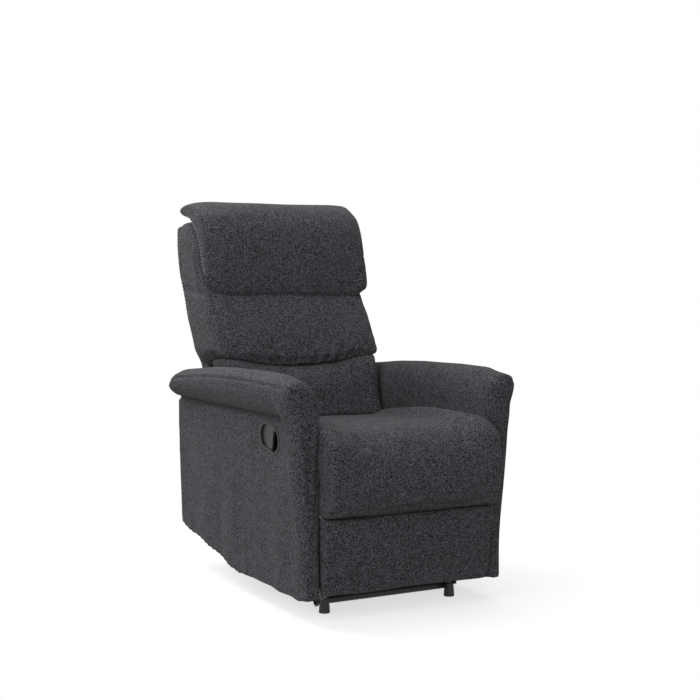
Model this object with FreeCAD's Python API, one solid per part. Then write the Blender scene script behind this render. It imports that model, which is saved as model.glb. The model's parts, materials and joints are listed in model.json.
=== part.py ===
"""Push-back recliner armchair, built as separate pieces in millimetres.

Axes: +Z up, the sitter faces -Y, +X is the sitter's left. The build datum is the
floor under the front plane of the arms; every piece is shifted at export so that
the origin lies on the floor at the middle of the chair's depth.
"""
import FreeCAD, Part
import math
import os

Vec = FreeCAD.Vector

# ---------------------------------------------------------------- driving dimensions
seat_width = 484.0            # cushion width between the arms
cushion_clearance = 3.0       # air between a cushion's side and the arm
arm_thickness = 47.0          # inner face to outer face of an arm
arm_depth = 830.0             # front plane to rear plane of an arm
arm_height = 606.0            # crest of the arm pad
arm_underside = 55.0          # floor to the lower edge of the arm's front
flare_reach = 48.0            # how far the pad's tip stands out past the arm's side
overall_height = 1060.0       # floor to the top of the headrest
seat_top = 478.0              # highest point of the seat cushion
seat_rear = 520.0             # rear edge of the seat cushion
seat_overhang = 85.0          # seat cushion's nose, ahead of the arm's front plane
back_lean = 22.0              # degrees, back frame from vertical

running_clearance = 0.05      # radial, pin in hole
layer_gap = 1.0               # air between two steel plates that pass each other
plate = 3.0                   # thickness of every mechanism plate
panel = 6.0                   # arm side panel
front_panel = 12.0            # arm front panel
bolt_radius = 4.0
bolt_clearance = 0.3
soft_gap = 0.3                # air between soft pieces on different bodies

# arms
inner_face = seat_width / 2 + cushion_clearance
frame_inner = inner_face + panel
outer_face = inner_face + arm_thickness
frame_outer = outer_face - panel
flare_tip = outer_face + flare_reach
crease_height = 506.0         # lower edge of the arm pad
chamfer_start = 400.0         # where the arm's lower edge starts to rise
chamfer_rise = 67.0           # how far it has risen at the rear
rear_strip = 8.0
post_width = 40.0
top_rail_thickness = 20.0
seat_rail_height = 42.0
bottom_rail_height = 30.0
pad_depth = 800.0
frame_lift = 7.0              # arm frame, above the panels' lower edge
arm_bolt_places = (190.0, 470.0)
arm_bolt_height = 296.0
arm_bolt_bite = 24.0          # bolt length in the arm frame

# seat box
rail_top = 330.0
rail_bottom = 262.0
rail_thickness = 22.0
side_rail_end = 640.0
apron_height = 195.0
rear_rail_front = 540.0
seat_spring_count = 5
spring_wire = 2.0             # radius
spring_swing = 34.0           # straight part of one spring loop
spring_loop = 7.5             # bend radius of one spring loop
spring_lift = 0.1             # air between a spring and its rail
cushion_base = 342.0
cushion_lip = 262.5

# steel layers, outwards from the middle, all as distances from the middle plane
mech_outer = frame_inner - panel - 24.0
mech_inner = mech_outer - plate
upper_link_inner = mech_inner - layer_gap - plate
lower_link_inner = upper_link_inner - layer_gap - plate
bracket_inner = lower_link_inner - layer_gap - plate
base_web_outer = bracket_inner - 7.0
base_web_inner = base_web_outer - plate

# linkage, in the side view (y, z)
upper_pivot = (60.0, 235.0)
link_length = 170.0
upper_link_angle = -150.0     # degrees from straight forward, up is positive
lower_link_angle = 21.0
link_half_width = 11.0
pin_radius = 4.0
head_radius = 7.0
head_thickness = 2.0
cross_rod_radius = 6.0
cross_rod_station = 60.0      # along the upper link
bracket_drop = 90.0           # footrest bracket, below its pivot
bracket_rise = 13.0           # and above it
bracket_flange = 28.0
footrest_rear = 20.0
footrest_bottom = 65.0
footrest_top = 258.0
footrest_lean = 30.0
board_thickness = 12.0
board_inset = 18.0

# base
foot_radius = 14.5
foot_height = 35.0
foot_front = 91.0
foot_rear = 610.0
foot_inset = 9.0              # glide centre, inside the base rail's web
foot_taper = 0.82
base_rail_top = 75.0
base_flange = 20.0
base_rail_overrun = 18.0      # base rail, past the outer glides
glide_thread = 18.0           # bolt length inside a glide
glide_bolt_head = 6.5         # radius
glide_bolt_head_height = 4.0
tube_radius = 11.0
tube_height = 26.0            # centre of the cross tubes above the floor
tube_tab = 15.0               # radius of the rail's tab round a tube
tube_bore = 9.5
tilt_pivot = (350.0, 120.0)
tilt_lobe = 17.0

# back
back_pivot = (625.0, 285.0)
back_rear_mark = (798.0, 621.0)   # a point that the rear plane passes through
rear_cover_thickness = 12.0
back_frame_depth = 40.0
back_post_width = 22.0
back_frame_low = 290.0        # along the lean, from floor level
back_rail_height = 45.0
upper_overhang = 17.0         # upper back, past the seat's half width
headrest_rise = 108.0         # headrest crest, above the back frame's top
lumbar_height = 618.0
headrest_overhang = 5.0       # headrest, past the upper back
headrest_low = 803.0
back_spring_count = 4
back_seat_line = (540.0, 432.0)   # front foot of the lower back cushion
bracket_length = 110.0
bracket_half_width = 18.0

# release handle, on the sitter's right arm
handle_y = 190.0
handle_z = 441.0
handle_tilt = 12.0            # degrees, rear end up
bezel_length = 120.0
bezel_height = 74.0
bezel_proud = 2.5
cup_wall = 2.5
cup_rim = 5.0
cup_depth = 30.0
lever_clearance = 1.5
lever_length = 62.0
lever_thickness = 5.0
lever_setback = 4.0
hinge_pin_radius = 1.5
pin_inset = 14.0              # hinge pin, from the cup's rear end
cable_radius = 2.5


# ---------------------------------------------------------------- helpers
def back_point(up, forward):
    """A (y, z) point of the leaning back: up from floor level along the rear
    plane, and forward of it, square to it."""
    lean = math.radians(back_lean)
    foot_y = back_rear_mark[0] - back_rear_mark[1] * math.tan(lean)
    return (foot_y + up * math.sin(lean) - forward * math.cos(lean),
            up * math.cos(lean) + forward * math.sin(lean))


back_top = (overall_height - headrest_rise) / math.cos(math.radians(back_lean))
depth_rear = back_point(back_top, 0)[0]
origin_shift = Vec(0, (seat_overhang - depth_rear) / 2, 0)


def box(x0, x1, y0, y1, z0, z1):
    """A block between two corners."""
    low = Vec(min(x0, x1), min(y0, y1), min(z0, z1))
    return Part.makeBox(abs(x1 - x0), abs(y1 - y0), abs(z1 - z0), low)


def side_prism(points, x0, x1):
    """A (y, z) outline carried along X from x0 to x1."""
    corners = [Vec(x0, y, z) for y, z in points]
    face = Part.Face(Part.makePolygon(corners + corners[:1]))
    return face.extrude(Vec(x1 - x0, 0, 0))


def front_prism(points, y0, y1):
    """An (x, z) outline carried along Y from y0 to y1."""
    corners = [Vec(x, y0, z) for x, z in points]
    face = Part.Face(Part.makePolygon(corners + corners[:1]))
    return face.extrude(Vec(0, y1 - y0, 0))


def rod_x(x0, x1, y, z, radius):
    """A round bar along X."""
    return Part.makeCylinder(radius, abs(x1 - x0), Vec(min(x0, x1), y, z), Vec(1, 0, 0))


def mirrored(shape):
    """The same piece on the other side of the middle plane."""
    return shape.mirror(Vec(0, 0, 0), Vec(1, 0, 0))


def rounded(shape, radius, test):
    """Round the edges whose middle passes the test."""
    edges = [edge for edge in shape.Edges if test(edge.CenterOfMass)]
    return shape.makeFillet(radius, edges)


def link_plate(start, end, half_width, x0, hole):
    """A flat bar with round ends and a hole at each end, in a side layer."""
    run = Vec(0, end[0] - start[0], end[1] - start[1])
    along = Vec(run).normalize()
    across = Vec(0, -along.z, along.y) * half_width
    a = Vec(x0, start[0], start[1])
    b = Vec(x0, end[0], end[1])
    edges = [
        Part.LineSegment(a + across, b + across).toShape(),
        Part.Arc(b + across, b + along * half_width, b - across).toShape(),
        Part.LineSegment(b - across, a - across).toShape(),
        Part.Arc(a - across, a - along * half_width, a + across).toShape(),
    ]
    bar = Part.Face(Part.Wire(edges)).extrude(Vec(plate, 0, 0))
    for centre in (start, end):
        bar = bar.cut(rod_x(x0 - 1, x0 + plate + 1, centre[0], centre[1], hole))
    return bar


def headed_pin(x_tip, x_head, y, z, radius=pin_radius):
    """A pin whose head sits outside x_head, pointing back to x_tip."""
    way = 1 if x_head > x_tip else -1
    shank = rod_x(x_tip, x_head, y, z, radius)
    head = rod_x(x_head, x_head + way * head_thickness, y, z, head_radius)
    return shank.fuse(head).removeSplitter()


def polar(start, length, degrees):
    """A (y, z) point at an angle measured from straight forward, up positive."""
    angle = math.radians(degrees)
    return (start[0] - length * math.cos(angle), start[1] + length * math.sin(angle))


def zigzag_spring(length, wire):
    """A sinuous spring in the XY plane, along +Y from the origin, centred on x = 0."""
    half = spring_swing / 2
    count = int(length // (2 * spring_loop))
    bend = length / count / 2
    edges = []
    side = 1
    for number in range(count):
        y = number * 2 * bend
        near = Vec(side * half, y, 0)
        far = Vec(-side * half, y, 0)
        tip = Vec(-side * (half + bend), y + bend, 0)
        edges.append(Part.LineSegment(near, far).toShape())
        edges.append(Part.Arc(far, tip, Vec(-side * half, y + 2 * bend, 0)).toShape())
        side = -side
    edges.append(Part.LineSegment(Vec(side * half, length, 0), Vec(-side * half, length, 0)).toShape())
    profile = Part.Wire(Part.makeCircle(wire, Vec(half, 0, 0), Vec(1, 0, 0)))
    return Part.Wire(edges).makePipeShell([profile], True, True)


def tube_path(points, radius):
    """A round tube along straight runs joined by tangent arcs."""
    edges = []
    start = points[0]
    for corner, after in zip(points[1:-1], points[2:]):
        into = Vec(corner - start)
        away = Vec(after - corner)
        shorter = min(Vec(corner - points[points.index(corner) - 1]).Length, away.Length)
        into.normalize()
        away.normalize()
        cut = 0.45 * shorter
        turn = into.getAngle(away)
        bend = cut / math.tan(turn / 2)
        centre = corner + Vec(away - into).normalize() * (bend / math.cos(turn / 2))
        first = corner - into * cut
        last = corner + away * cut
        middle = centre + Vec(corner - centre).normalize() * bend
        edges.append(Part.LineSegment(start, first).toShape())
        edges.append(Part.Arc(first, middle, last).toShape())
        print("cable bend radius", round(bend, 1))
        start = last
    edges.append(Part.LineSegment(start, points[-1]).toShape())
    path = Part.Wire(edges)
    direction = Vec(points[1] - points[0])
    profile = Part.Wire(Part.makeCircle(radius, points[0], direction))
    tube = path.makePipeShell([profile], True, True)
    print("cable length", round(path.Length, 1), "volume ratio",
          round(tube.Volume / (path.Length * math.pi * radius ** 2), 4))
    return tube


def back_block(x0, x1, up0, up1, forward0, forward1):
    """A block that leans with the back."""
    outline = [back_point(up0, forward0), back_point(up1, forward0),
               back_point(up1, forward1), back_point(up0, forward1)]
    return side_prism(outline, x0, x1)


def save(name, *solids):
    """Write one node; several solids stay separate in it."""
    shape = solids[0].copy() if len(solids) == 1 else Part.makeCompound(list(solids)).copy()
    shape.translate(origin_shift)
    shape.exportStep("parts/" + name + ".step")
    print(name, "solids", len(shape.Solids), "volume", round(shape.Volume), "valid", shape.isValid())


# ---------------------------------------------------------------- base
def build_base():
    """Feet, side rails, cross tubes and the tilt pivots: what stays on the floor."""
    foot_offset = base_web_inner - foot_inset
    foot_places = {
        "foot_front_left": (foot_offset, foot_front), "foot_front_right": (-foot_offset, foot_front),
        "foot_rear_left": (foot_offset, foot_rear), "foot_rear_right": (-foot_offset, foot_rear),
    }
    bolts = []
    for name, (x, y) in foot_places.items():
        foot = Part.makeCone(foot_radius, foot_radius * foot_taper, foot_height, Vec(x, y, 0))
        foot = rounded(foot, 1.5, lambda point: point.z < 0.5)
        bore_depth = glide_thread + 2
        foot = foot.cut(Part.makeCylinder(bolt_radius, bore_depth, Vec(x, y, foot_height - bore_depth)))
        save(name, foot)
        shank = Part.makeCylinder(bolt_radius - running_clearance, glide_thread + plate,
                                  Vec(x, y, foot_height - glide_thread))
        head = Part.makeCylinder(glide_bolt_head, glide_bolt_head_height, Vec(x, y, foot_height + plate))
        bolts.append(shank.fuse(head).removeSplitter())
    save("foot_bolts", *bolts)

    rail_front = foot_front - base_rail_overrun
    rail_rear = foot_rear + base_rail_overrun
    web = side_prism([(rail_front, foot_height), (rail_rear, foot_height), (rail_rear, base_rail_top),
                      (rail_front, base_rail_top)], base_web_inner, base_web_outer)
    lobe_foot = tilt_lobe * 2.2
    pivot_y, pivot_z = tilt_pivot
    lobe_low = base_rail_top - 5
    lobe = side_prism([(pivot_y - lobe_foot, lobe_low), (pivot_y + lobe_foot, lobe_low),
                       (pivot_y + tilt_lobe, pivot_z), (pivot_y - tilt_lobe, pivot_z)],
                      base_web_inner, base_web_outer)
    ear = rod_x(base_web_inner, base_web_outer, *tilt_pivot, tilt_lobe)
    flange = box(base_web_inner - base_flange, base_web_inner, rail_front, rail_rear,
                 foot_height, foot_height + plate)
    rail = web.fuse([lobe, ear, flange]).removeSplitter()
    rail = rail.cut(rod_x(base_web_inner - 1, base_web_outer + 1, *tilt_pivot,
                          pin_radius + 1 + running_clearance))
    for y in (foot_front, foot_rear):
        rail = rail.cut(Part.makeCylinder(bolt_radius + bolt_clearance, plate * 3,
                                          Vec(foot_offset, y, foot_height - plate)))
    step = foot_radius + tube_radius + 1
    tube_y = {"front_cross_tube": foot_front + step, "rear_cross_tube": foot_rear - step}
    for y in tube_y.values():
        tab = box(base_web_inner, base_web_outer, y - tube_tab, y + tube_tab, tube_height, base_rail_top - 5)
        round_end = rod_x(base_web_inner, base_web_outer, y, tube_height, tube_tab)
        rail = rail.fuse([tab, round_end]).removeSplitter()
        rail = rail.cut(rod_x(base_web_inner - 1, base_web_outer + 1, y, tube_height,
                              tube_radius + running_clearance))
        slot = box(base_web_inner - base_flange - 1, base_web_inner, y - tube_radius - 1, y + tube_radius + 1,
                   tube_height, foot_height + plate)
        rail = rail.cut(slot)
    save("base_rail_left", rail)
    save("base_rail_right", mirrored(rail))
    reach = base_web_outer + 1
    for name, y in tube_y.items():
        tube = rod_x(-reach, reach, y, tube_height, tube_radius)
        tube = tube.cut(rod_x(-reach - 1, reach + 1, y, tube_height, tube_bore))
        save(name, tube)

    pin = headed_pin(mech_outer, base_web_inner, *tilt_pivot, pin_radius + 1)
    collar = rod_x(base_web_outer, mech_inner - layer_gap / 2, *tilt_pivot, head_radius)
    pivot = pin.fuse(collar).removeSplitter()
    save("tilt_pivot_pins", pivot, mirrored(pivot))


# ---------------------------------------------------------------- seat box
def build_seat():
    """Seat frame rails, springs and the seat cushion."""
    side = box(mech_outer, inner_face, rail_thickness, side_rail_end, rail_bottom, rail_top)
    for y in arm_bolt_places:
        side = side.cut(rod_x(mech_outer - 1, inner_face + 1, y, arm_bolt_height,
                              bolt_radius + bolt_clearance))
    save("seat_rail_left", side)
    save("seat_rail_right", mirrored(side))
    save("seat_rail_front", box(-inner_face, inner_face, 0, rail_thickness, rail_bottom, rail_top))
    save("seat_rail_rear", box(-mech_inner, mech_inner, rear_rail_front, rear_rail_front + rail_thickness,
                               rail_bottom, rail_top))
    spring = zigzag_spring(rear_rail_front, spring_wire)
    pitch = 2 * mech_inner / seat_spring_count
    springs = []
    for number in range(seat_spring_count):
        copy = spring.copy()
        x = (number - (seat_spring_count - 1) / 2) * pitch
        copy.translate(Vec(x, rail_thickness / 2, rail_top + spring_wire + spring_lift))
        springs.append(copy)
    save("seat_springs", *springs)

    half = seat_width / 2
    nose = -seat_overhang
    outline = [
        (-soft_gap, cushion_lip), (nose + 47, cushion_lip), (nose + 14, cushion_lip + 26),
        (nose, seat_top - 115), (nose + 3, seat_top - 62), (nose + 24, seat_top - 20),
        (nose + 62, seat_top - 3), (nose + 120, seat_top), (seat_rear - 170, seat_top - 4),
        (seat_rear - 40, seat_top - 14), (seat_rear, seat_top - 34), (seat_rear, cushion_base),
        (-soft_gap, cushion_base),
    ]
    save("seat_cushion", side_prism(outline, -half, half))


def build_side_plates():
    """Steel plates that carry the links, the tilt pivot and the back."""
    y, z = upper_pivot
    outline = [
        (y - 15, z - 12), (y + 14, z - 12), (y + 52, rail_bottom - 10),
        (tilt_pivot[0] - 40, rail_bottom - 10),
        (tilt_pivot[0] - 19, tilt_pivot[1] - 17), (tilt_pivot[0] + 19, tilt_pivot[1] - 17),
        (tilt_pivot[0] + 44, rail_bottom - 10), (back_pivot[0] - 20, back_pivot[1] - 20),
        (back_pivot[0] + 10, back_pivot[1] - 20), (back_pivot[0] + 20, back_pivot[1] - 8),
        (back_pivot[0] + 20, back_pivot[1] + 12), (back_pivot[0] - 25, rail_top - 12), (y, rail_top - 12),
        (y - 15, rail_bottom),
    ]
    sheet = side_prism(outline, mech_inner, mech_outer)
    pivots = ((upper_pivot, pin_radius), (tilt_pivot, pin_radius + 1), (back_pivot, pin_radius + 1))
    for centre, radius in pivots:
        sheet = sheet.cut(rod_x(mech_inner - 1, mech_outer + 1, *centre, radius + running_clearance))
    for bolt_y in arm_bolt_places:
        sheet = sheet.cut(rod_x(mech_inner - 1, mech_outer + 1, bolt_y, arm_bolt_height,
                                bolt_radius + bolt_clearance))
    save("side_plate_left", sheet)
    save("side_plate_right", mirrored(sheet))

    upper = headed_pin(mech_outer, upper_link_inner - layer_gap / 2, *upper_pivot)
    save("upper_link_pins", upper, mirrored(upper))
    shank_end = frame_inner + arm_bolt_bite
    bolts = []
    for bolt_y in arm_bolt_places:
        shank = rod_x(mech_inner, shank_end, bolt_y, arm_bolt_height, bolt_radius)
        head = rod_x(mech_inner - head_thickness, mech_inner, bolt_y, arm_bolt_height, head_radius)
        bolt = shank.fuse(head).removeSplitter()
        bolts.append(bolt)
        bolts.append(mirrored(bolt))
    save("arm_bolts", *bolts)


def build_rear_apron():
    """The covered board that closes the box behind, under the back."""
    low = arm_underside + chamfer_rise + 14
    save("rear_apron", box(-inner_face, inner_face, arm_depth - 34, arm_depth - 20, low, low + apron_height))


# ---------------------------------------------------------------- arms
def handle_oval(length, height, x0, x1):
    """A stadium-shaped block at the handle's place, on the sitter's right arm."""
    radius = height / 2
    half = length / 2 - radius
    middle = box(x0, x1, handle_y - half, handle_y + half, handle_z - radius, handle_z + radius)
    ends = [rod_x(x0, x1, handle_y + sign * half, handle_z, radius) for sign in (-1, 1)]
    block = middle.fuse(ends).removeSplitter()
    block.rotate(Vec(0, handle_y, handle_z), Vec(1, 0, 0), handle_tilt)
    return block


def build_arm(name, side):
    """One arm: wooden frame, inner and outer panels, front panel and flared pad."""
    low = arm_underside
    slope_low = low + chamfer_rise
    top = crease_height

    def lower_edge(y, lift):
        """Height of the arm's lower edge at a depth, plus a lift."""
        rise = max(0.0, y - chamfer_start) / (arm_depth - chamfer_start) * chamfer_rise
        return low + rise + lift

    def place(shape):
        """Put a piece that was drawn on the sitter's left on the right side."""
        return shape if side > 0 else mirrored(shape)

    member = (frame_inner, frame_outer)
    rear = arm_depth - rear_strip
    post_top = top - top_rail_thickness
    post_front = rear - post_width
    front_post = box(*member, front_panel, front_panel + post_width, low + frame_lift, post_top)
    rear_post = side_prism([(post_front, lower_edge(post_front, frame_lift)),
                            (rear, lower_edge(rear, frame_lift)), (rear, post_top), (post_front, post_top)],
                           *member)
    top_rail = box(*member, front_panel, rear, post_top, top)
    rail_low = arm_bolt_height - seat_rail_height / 2
    seat_rail = box(*member, front_panel + post_width, post_front, rail_low, rail_low + seat_rail_height)
    y0 = front_panel + post_width
    y1 = rear - post_width
    bottom_rail = side_prism([
        (y0, low + frame_lift), (chamfer_start, low + frame_lift), (y1, lower_edge(y1, frame_lift)),
        (y1, lower_edge(y1, frame_lift + bottom_rail_height)),
        (chamfer_start, low + frame_lift + bottom_rail_height),
        (y0, low + frame_lift + bottom_rail_height)], *member)
    for y in arm_bolt_places:
        seat_rail = seat_rail.cut(rod_x(frame_inner - 1, frame_inner + arm_bolt_bite + 1, y, arm_bolt_height,
                                        bolt_radius + bolt_clearance))
    frame = [place(piece) for piece in (front_post, rear_post, top_rail, seat_rail, bottom_rail)]
    save("arm_frame_" + name, *frame)

    inner = side_prism([(front_panel, low), (chamfer_start, low), (rear, lower_edge(rear, 0)), (rear, top),
                        (front_panel, top)], inner_face, frame_inner)
    for y in arm_bolt_places:
        inner = inner.cut(rod_x(inner_face - 1, frame_inner + 1, y, arm_bolt_height,
                                bolt_radius + bolt_clearance))
    inner = place(inner)
    if side < 0:
        exit_point = cable_route()[1]
        inner = inner.cut(rod_x(-frame_inner - 1, -inner_face + 1, exit_point.y, exit_point.z + 1.5,
                                cable_radius + 3))
    save("arm_inner_panel_" + name, inner)

    outer = side_prism([(front_panel, low), (chamfer_start, low), (arm_depth, slope_low), (arm_depth, top),
                        (front_panel, top)], frame_outer, outer_face)
    strip = box(inner_face, frame_outer, rear, arm_depth, slope_low, top)
    outer = place(outer.fuse(strip).removeSplitter())
    if side < 0:
        outer = outer.cut(handle_oval(bezel_length - 2 * cup_rim + 1, bezel_height - 2 * cup_rim + 1,
                                      -outer_face - 1, -frame_outer + 1))
    save("arm_outer_panel_" + name, outer)
    save("arm_front_panel_" + name, place(box(inner_face, outer_face, 0, front_panel, low, top)))

    crest = (inner_face + flare_tip) / 2 - 6
    pad = front_prism([
        (inner_face, crease_height), (inner_face, crease_height + 18), (inner_face + 6, crease_height + 50),
        (inner_face + 18, arm_height - 20), (crest - 12, arm_height - 4), (crest + 4, arm_height),
        (flare_tip - 22, arm_height - 7), (flare_tip, arm_height - 24), (flare_tip - 3, arm_height - 33),
        (flare_tip - 18, crease_height + 46), (outer_face + 8, crease_height + 20),
        (outer_face, crease_height)],
        0, pad_depth)
    save("arm_pad_" + name, place(pad))


def cable_route():
    """The release cable: down from the cup, in over the seat rail, down to its anchor."""
    down_x = -(frame_inner + 17)
    drop_x = -(inner_face - 39)
    y = handle_y + 10
    over = rail_top + 7
    return [Vec(down_x, y, handle_z - 32.5), Vec(down_x, y, over), Vec(drop_x, y, over),
            Vec(drop_x, y, rail_bottom - 12)]


def build_handle():
    """The release cup in the outer panel, its pull lever, hinge pin and cable."""
    face = -outer_face
    shell_length = bezel_length - 2 * cup_rim
    shell_height = bezel_height - 2 * cup_rim
    inside_length = shell_length - 2 * cup_wall
    inside_height = shell_height - 2 * cup_wall
    rim = handle_oval(bezel_length, bezel_height, face - bezel_proud, face)
    shell = handle_oval(shell_length, shell_height, face, face + cup_depth)
    hollow = handle_oval(inside_length, inside_height, face - bezel_proud - 1, face + cup_depth - cup_wall)
    cup = rim.fuse(shell).removeSplitter().cut(hollow)

    def tilted(shape):
        """Turn a piece with the oval."""
        shape.rotate(Vec(0, handle_y, handle_z), Vec(1, 0, 0), handle_tilt)
        return shape

    lever = handle_oval(inside_length - 2 * lever_clearance, inside_height - 2 * lever_clearance,
                        face + lever_setback, face + lever_setback + lever_thickness)
    rear_end = handle_y + inside_length / 2
    keep = box(face, face + cup_depth, rear_end - lever_length, rear_end, handle_z - bezel_height,
               handle_z + bezel_height)
    lever = lever.common(tilted(keep))
    end_radius = inside_height / 2
    pin_x = face + lever_setback + lever_thickness / 2
    pin_y = rear_end - pin_inset
    reach = math.sqrt((end_radius + cup_wall / 2) ** 2 - (end_radius - pin_inset) ** 2)
    pin = tilted(Part.makeCylinder(hinge_pin_radius, 2 * reach, Vec(pin_x, pin_y, handle_z - reach)))
    bore = tilted(Part.makeCylinder(hinge_pin_radius + running_clearance, 2 * reach + 0.1,
                                    Vec(pin_x, pin_y, handle_z - reach - 0.05)))
    save("release_lever", lever.cut(bore))
    save("lever_pin", pin)
    save("release_cup", cup.cut(bore))

    route = cable_route()
    end = route[-1]
    fitting = box(-mech_inner, end.x + 8, end.y - 8, end.y + 8, end.z - 12, end.z)
    save("release_cable", tube_path(route, cable_radius), fitting)


# ---------------------------------------------------------------- footrest linkage
def build_linkage():
    """Two folding links a side, the rod between the sides and the footrest brackets."""
    knee = polar(upper_pivot, link_length, upper_link_angle)
    hinge = polar(knee, link_length, lower_link_angle)
    hole = pin_radius + running_clearance
    upper = link_plate(upper_pivot, knee, link_half_width, upper_link_inner, hole)
    save("upper_link_left", upper)
    save("upper_link_right", mirrored(upper))
    station = polar(upper_pivot, cross_rod_station, upper_link_angle)
    save("link_cross_rod", rod_x(-upper_link_inner, upper_link_inner, *station, cross_rod_radius))
    lower = link_plate(knee, hinge, link_half_width, lower_link_inner, hole)
    save("lower_link_left", lower)
    save("lower_link_right", mirrored(lower))
    knee_pin = headed_pin(upper_link_inner + plate, lower_link_inner - layer_gap / 2, *knee)
    save("knee_pins", knee_pin, mirrored(knee_pin))
    foot_pin = headed_pin(lower_link_inner + plate, bracket_inner - layer_gap / 2, *hinge)
    save("footrest_pins", foot_pin, mirrored(foot_pin))

    y, z = hinge
    low = z - bracket_drop
    high = z + bracket_rise
    outline = [(footrest_rear, low), (footrest_rear + 16, low + 6), (y + 12, z - 6), (y + 12, high - 5),
               (y + 2, high), (footrest_rear, high)]
    web = side_prism(outline, bracket_inner, bracket_inner + plate)
    flange = box(bracket_inner - bracket_flange, bracket_inner, footrest_rear, footrest_rear + plate,
                 low, high)
    bracket = web.fuse(flange).removeSplitter()
    bracket = bracket.cut(rod_x(bracket_inner - 1, bracket_inner + plate + 1, y, z, hole))
    save("footrest_bracket_left", bracket)
    save("footrest_bracket_right", mirrored(bracket))
    half = seat_width / 2
    front = footrest_rear - board_thickness
    save("footrest_board", box(-half + board_inset, half - board_inset, front, footrest_rear,
                               footrest_bottom + 8, footrest_top - 4))
    pad = side_prism([(front, footrest_bottom), (-4, footrest_bottom), (-9, footrest_bottom + 12),
                      (-footrest_lean - 6, footrest_top - 14), (-footrest_lean, footrest_top),
                      (front, footrest_top)], -half, half)
    save("footrest_pad", pad)


# ---------------------------------------------------------------- back
def build_back():
    """The leaning back: posts, rails, springs, hinge brackets and its soft parts."""
    near = rear_cover_thickness
    far = near + back_frame_depth
    lean = math.cos(math.radians(back_lean))
    frame_top = back_top - 8
    post_out = mech_inner - layer_gap - plate
    post_in = post_out - back_post_width
    post = back_block(post_in, post_out, back_frame_low, frame_top, near, far)
    bracket_foot = back_pivot
    reach = math.radians(back_lean)
    bracket_head = (bracket_foot[0] + bracket_length * math.sin(reach),
                    bracket_foot[1] + bracket_length * math.cos(reach))
    bracket = link_plate(bracket_foot, bracket_head, bracket_half_width, post_out,
                         pin_radius + 1 + running_clearance)
    post_bolt = rod_x(post_out - 18, post_out + 1, *bracket_head, pin_radius + 1 + running_clearance)
    post = post.cut(post_bolt)
    pivot_relief = rod_x(post_out - 3, post_out + 1, *bracket_foot, head_radius + 2)
    post = post.cut(pivot_relief)
    save("back_post_left", post)
    save("back_post_right", mirrored(post))
    save("back_bracket_left", bracket)
    save("back_bracket_right", mirrored(bracket))
    bolt = headed_pin(post_out - 17, post_out + plate, *bracket_head, pin_radius + 1)
    save("back_bracket_bolts", bolt, mirrored(bolt))
    pivot = headed_pin(mech_outer, post_out - 0.5, *bracket_foot, pin_radius + 1)
    save("back_pivot_pins", pivot, mirrored(pivot))
    rail_foot = back_frame_low + 60
    low_rail = back_block(-post_in, post_in, rail_foot, rail_foot + back_rail_height, near, far)
    high_rail = back_block(-post_in, post_in, frame_top - back_rail_height, frame_top, near, far)
    save("back_rails", low_rail, high_rail)

    spring_low = rail_foot + back_rail_height / 2
    spring_high = frame_top - back_rail_height / 2
    spring = zigzag_spring(spring_high - spring_low, spring_wire)
    spring.rotate(Vec(0, 0, 0), Vec(1, 0, 0), 90 - back_lean)
    foot = back_point(spring_low, far + spring_wire + spring_lift)
    pitch = 2 * post_in / back_spring_count
    springs = []
    for number in range(back_spring_count):
        copy = spring.copy()
        copy.translate(Vec((number - (back_spring_count - 1) / 2) * pitch, foot[0], foot[1]))
        springs.append(copy)
    save("back_springs", *springs)

    half = seat_width / 2
    wide = half + upper_overhang
    waist = (lumbar_height + 30) / lean
    cover = back_block(-half, half, back_frame_low + 20, waist, 0, near)
    head = back_block(-wide, wide, waist, back_top, 0, near)
    save("back_rear_cover", cover.fuse(head).removeSplitter())
    low_side = back_block(post_out + plate + head_thickness + 1, half, back_frame_low + 90, waist, near, far)
    high_side = back_block(post_out + plate + head_thickness + 1, wide, waist, back_top - 5, near, far)
    side_pad = low_side.fuse(high_side).removeSplitter()
    save("back_side_pad_left", side_pad)
    save("back_side_pad_right", mirrored(side_pad))

    core = far + 2 * spring_wire + 2 * spring_lift
    seam = lumbar_height / lean

    def on_core(up):
        """A point on the plane just ahead of the springs."""
        return back_point(up, core)

    lower = [on_core(back_frame_low + 125), (back_seat_line[0] + 4, back_seat_line[1] - 12),
             (back_seat_line[0] - 3, back_seat_line[1] + 2),
             (552, 494), (566, 543), (580, 590), (600, lumbar_height - 1), on_core(seam - 62)]
    save("back_cushion_lower", side_prism(lower, -half, half))
    crown = overall_height - 40
    cap = on_core(frame_top)
    chest = [(624, 672), (662, 742)]
    crest = [(694, headrest_low - 6), (722, headrest_low + 27), (748, 900), (768, 950), (795, crown - 30),
             (830, crown - 2), (876, crown)]
    heel = [(905, crown - 14), (cap[0] + 30, cap[1] + 22), cap]
    body = side_prism([on_core(seam - 60), (600, lumbar_height), (615, 648), on_core(waist - 14)],
                      -half, half)
    rest = side_prism([on_core(waist - 14), (615, 648)] + chest + crest + heel, -wide, wide)
    save("back_cushion_upper", body.fuse(rest).removeSplitter())

    resting = [(y - soft_gap, z + soft_gap) for y, z in crest]
    share = (headrest_low + 1 - resting[0][1]) / (resting[1][1] - resting[0][1])
    tuck = (resting[0][0] + share * (resting[1][0] - resting[0][0]), headrest_low + 1)
    low = headrest_low
    top = overall_height
    flap = [tuck, (690, low + 9), (686, low + 37), (690, low + 87), (702, low + 137),
            (716, top - 75), (742, top - 30), (785, top - 6), (830, top), (880, top - 3), (912, top - 16),
            (920, top - 44), (906, top - 52)] + resting[:0:-1]
    save("headrest_pillow", side_prism(flap, -wide - headrest_overhang, wide + headrest_overhang))


os.makedirs("parts", exist_ok=True)
build_base()
build_seat()
build_side_plates()
build_rear_apron()
build_arm("left", 1)
build_arm("right", -1)
build_handle()
build_linkage()
build_back()
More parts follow.
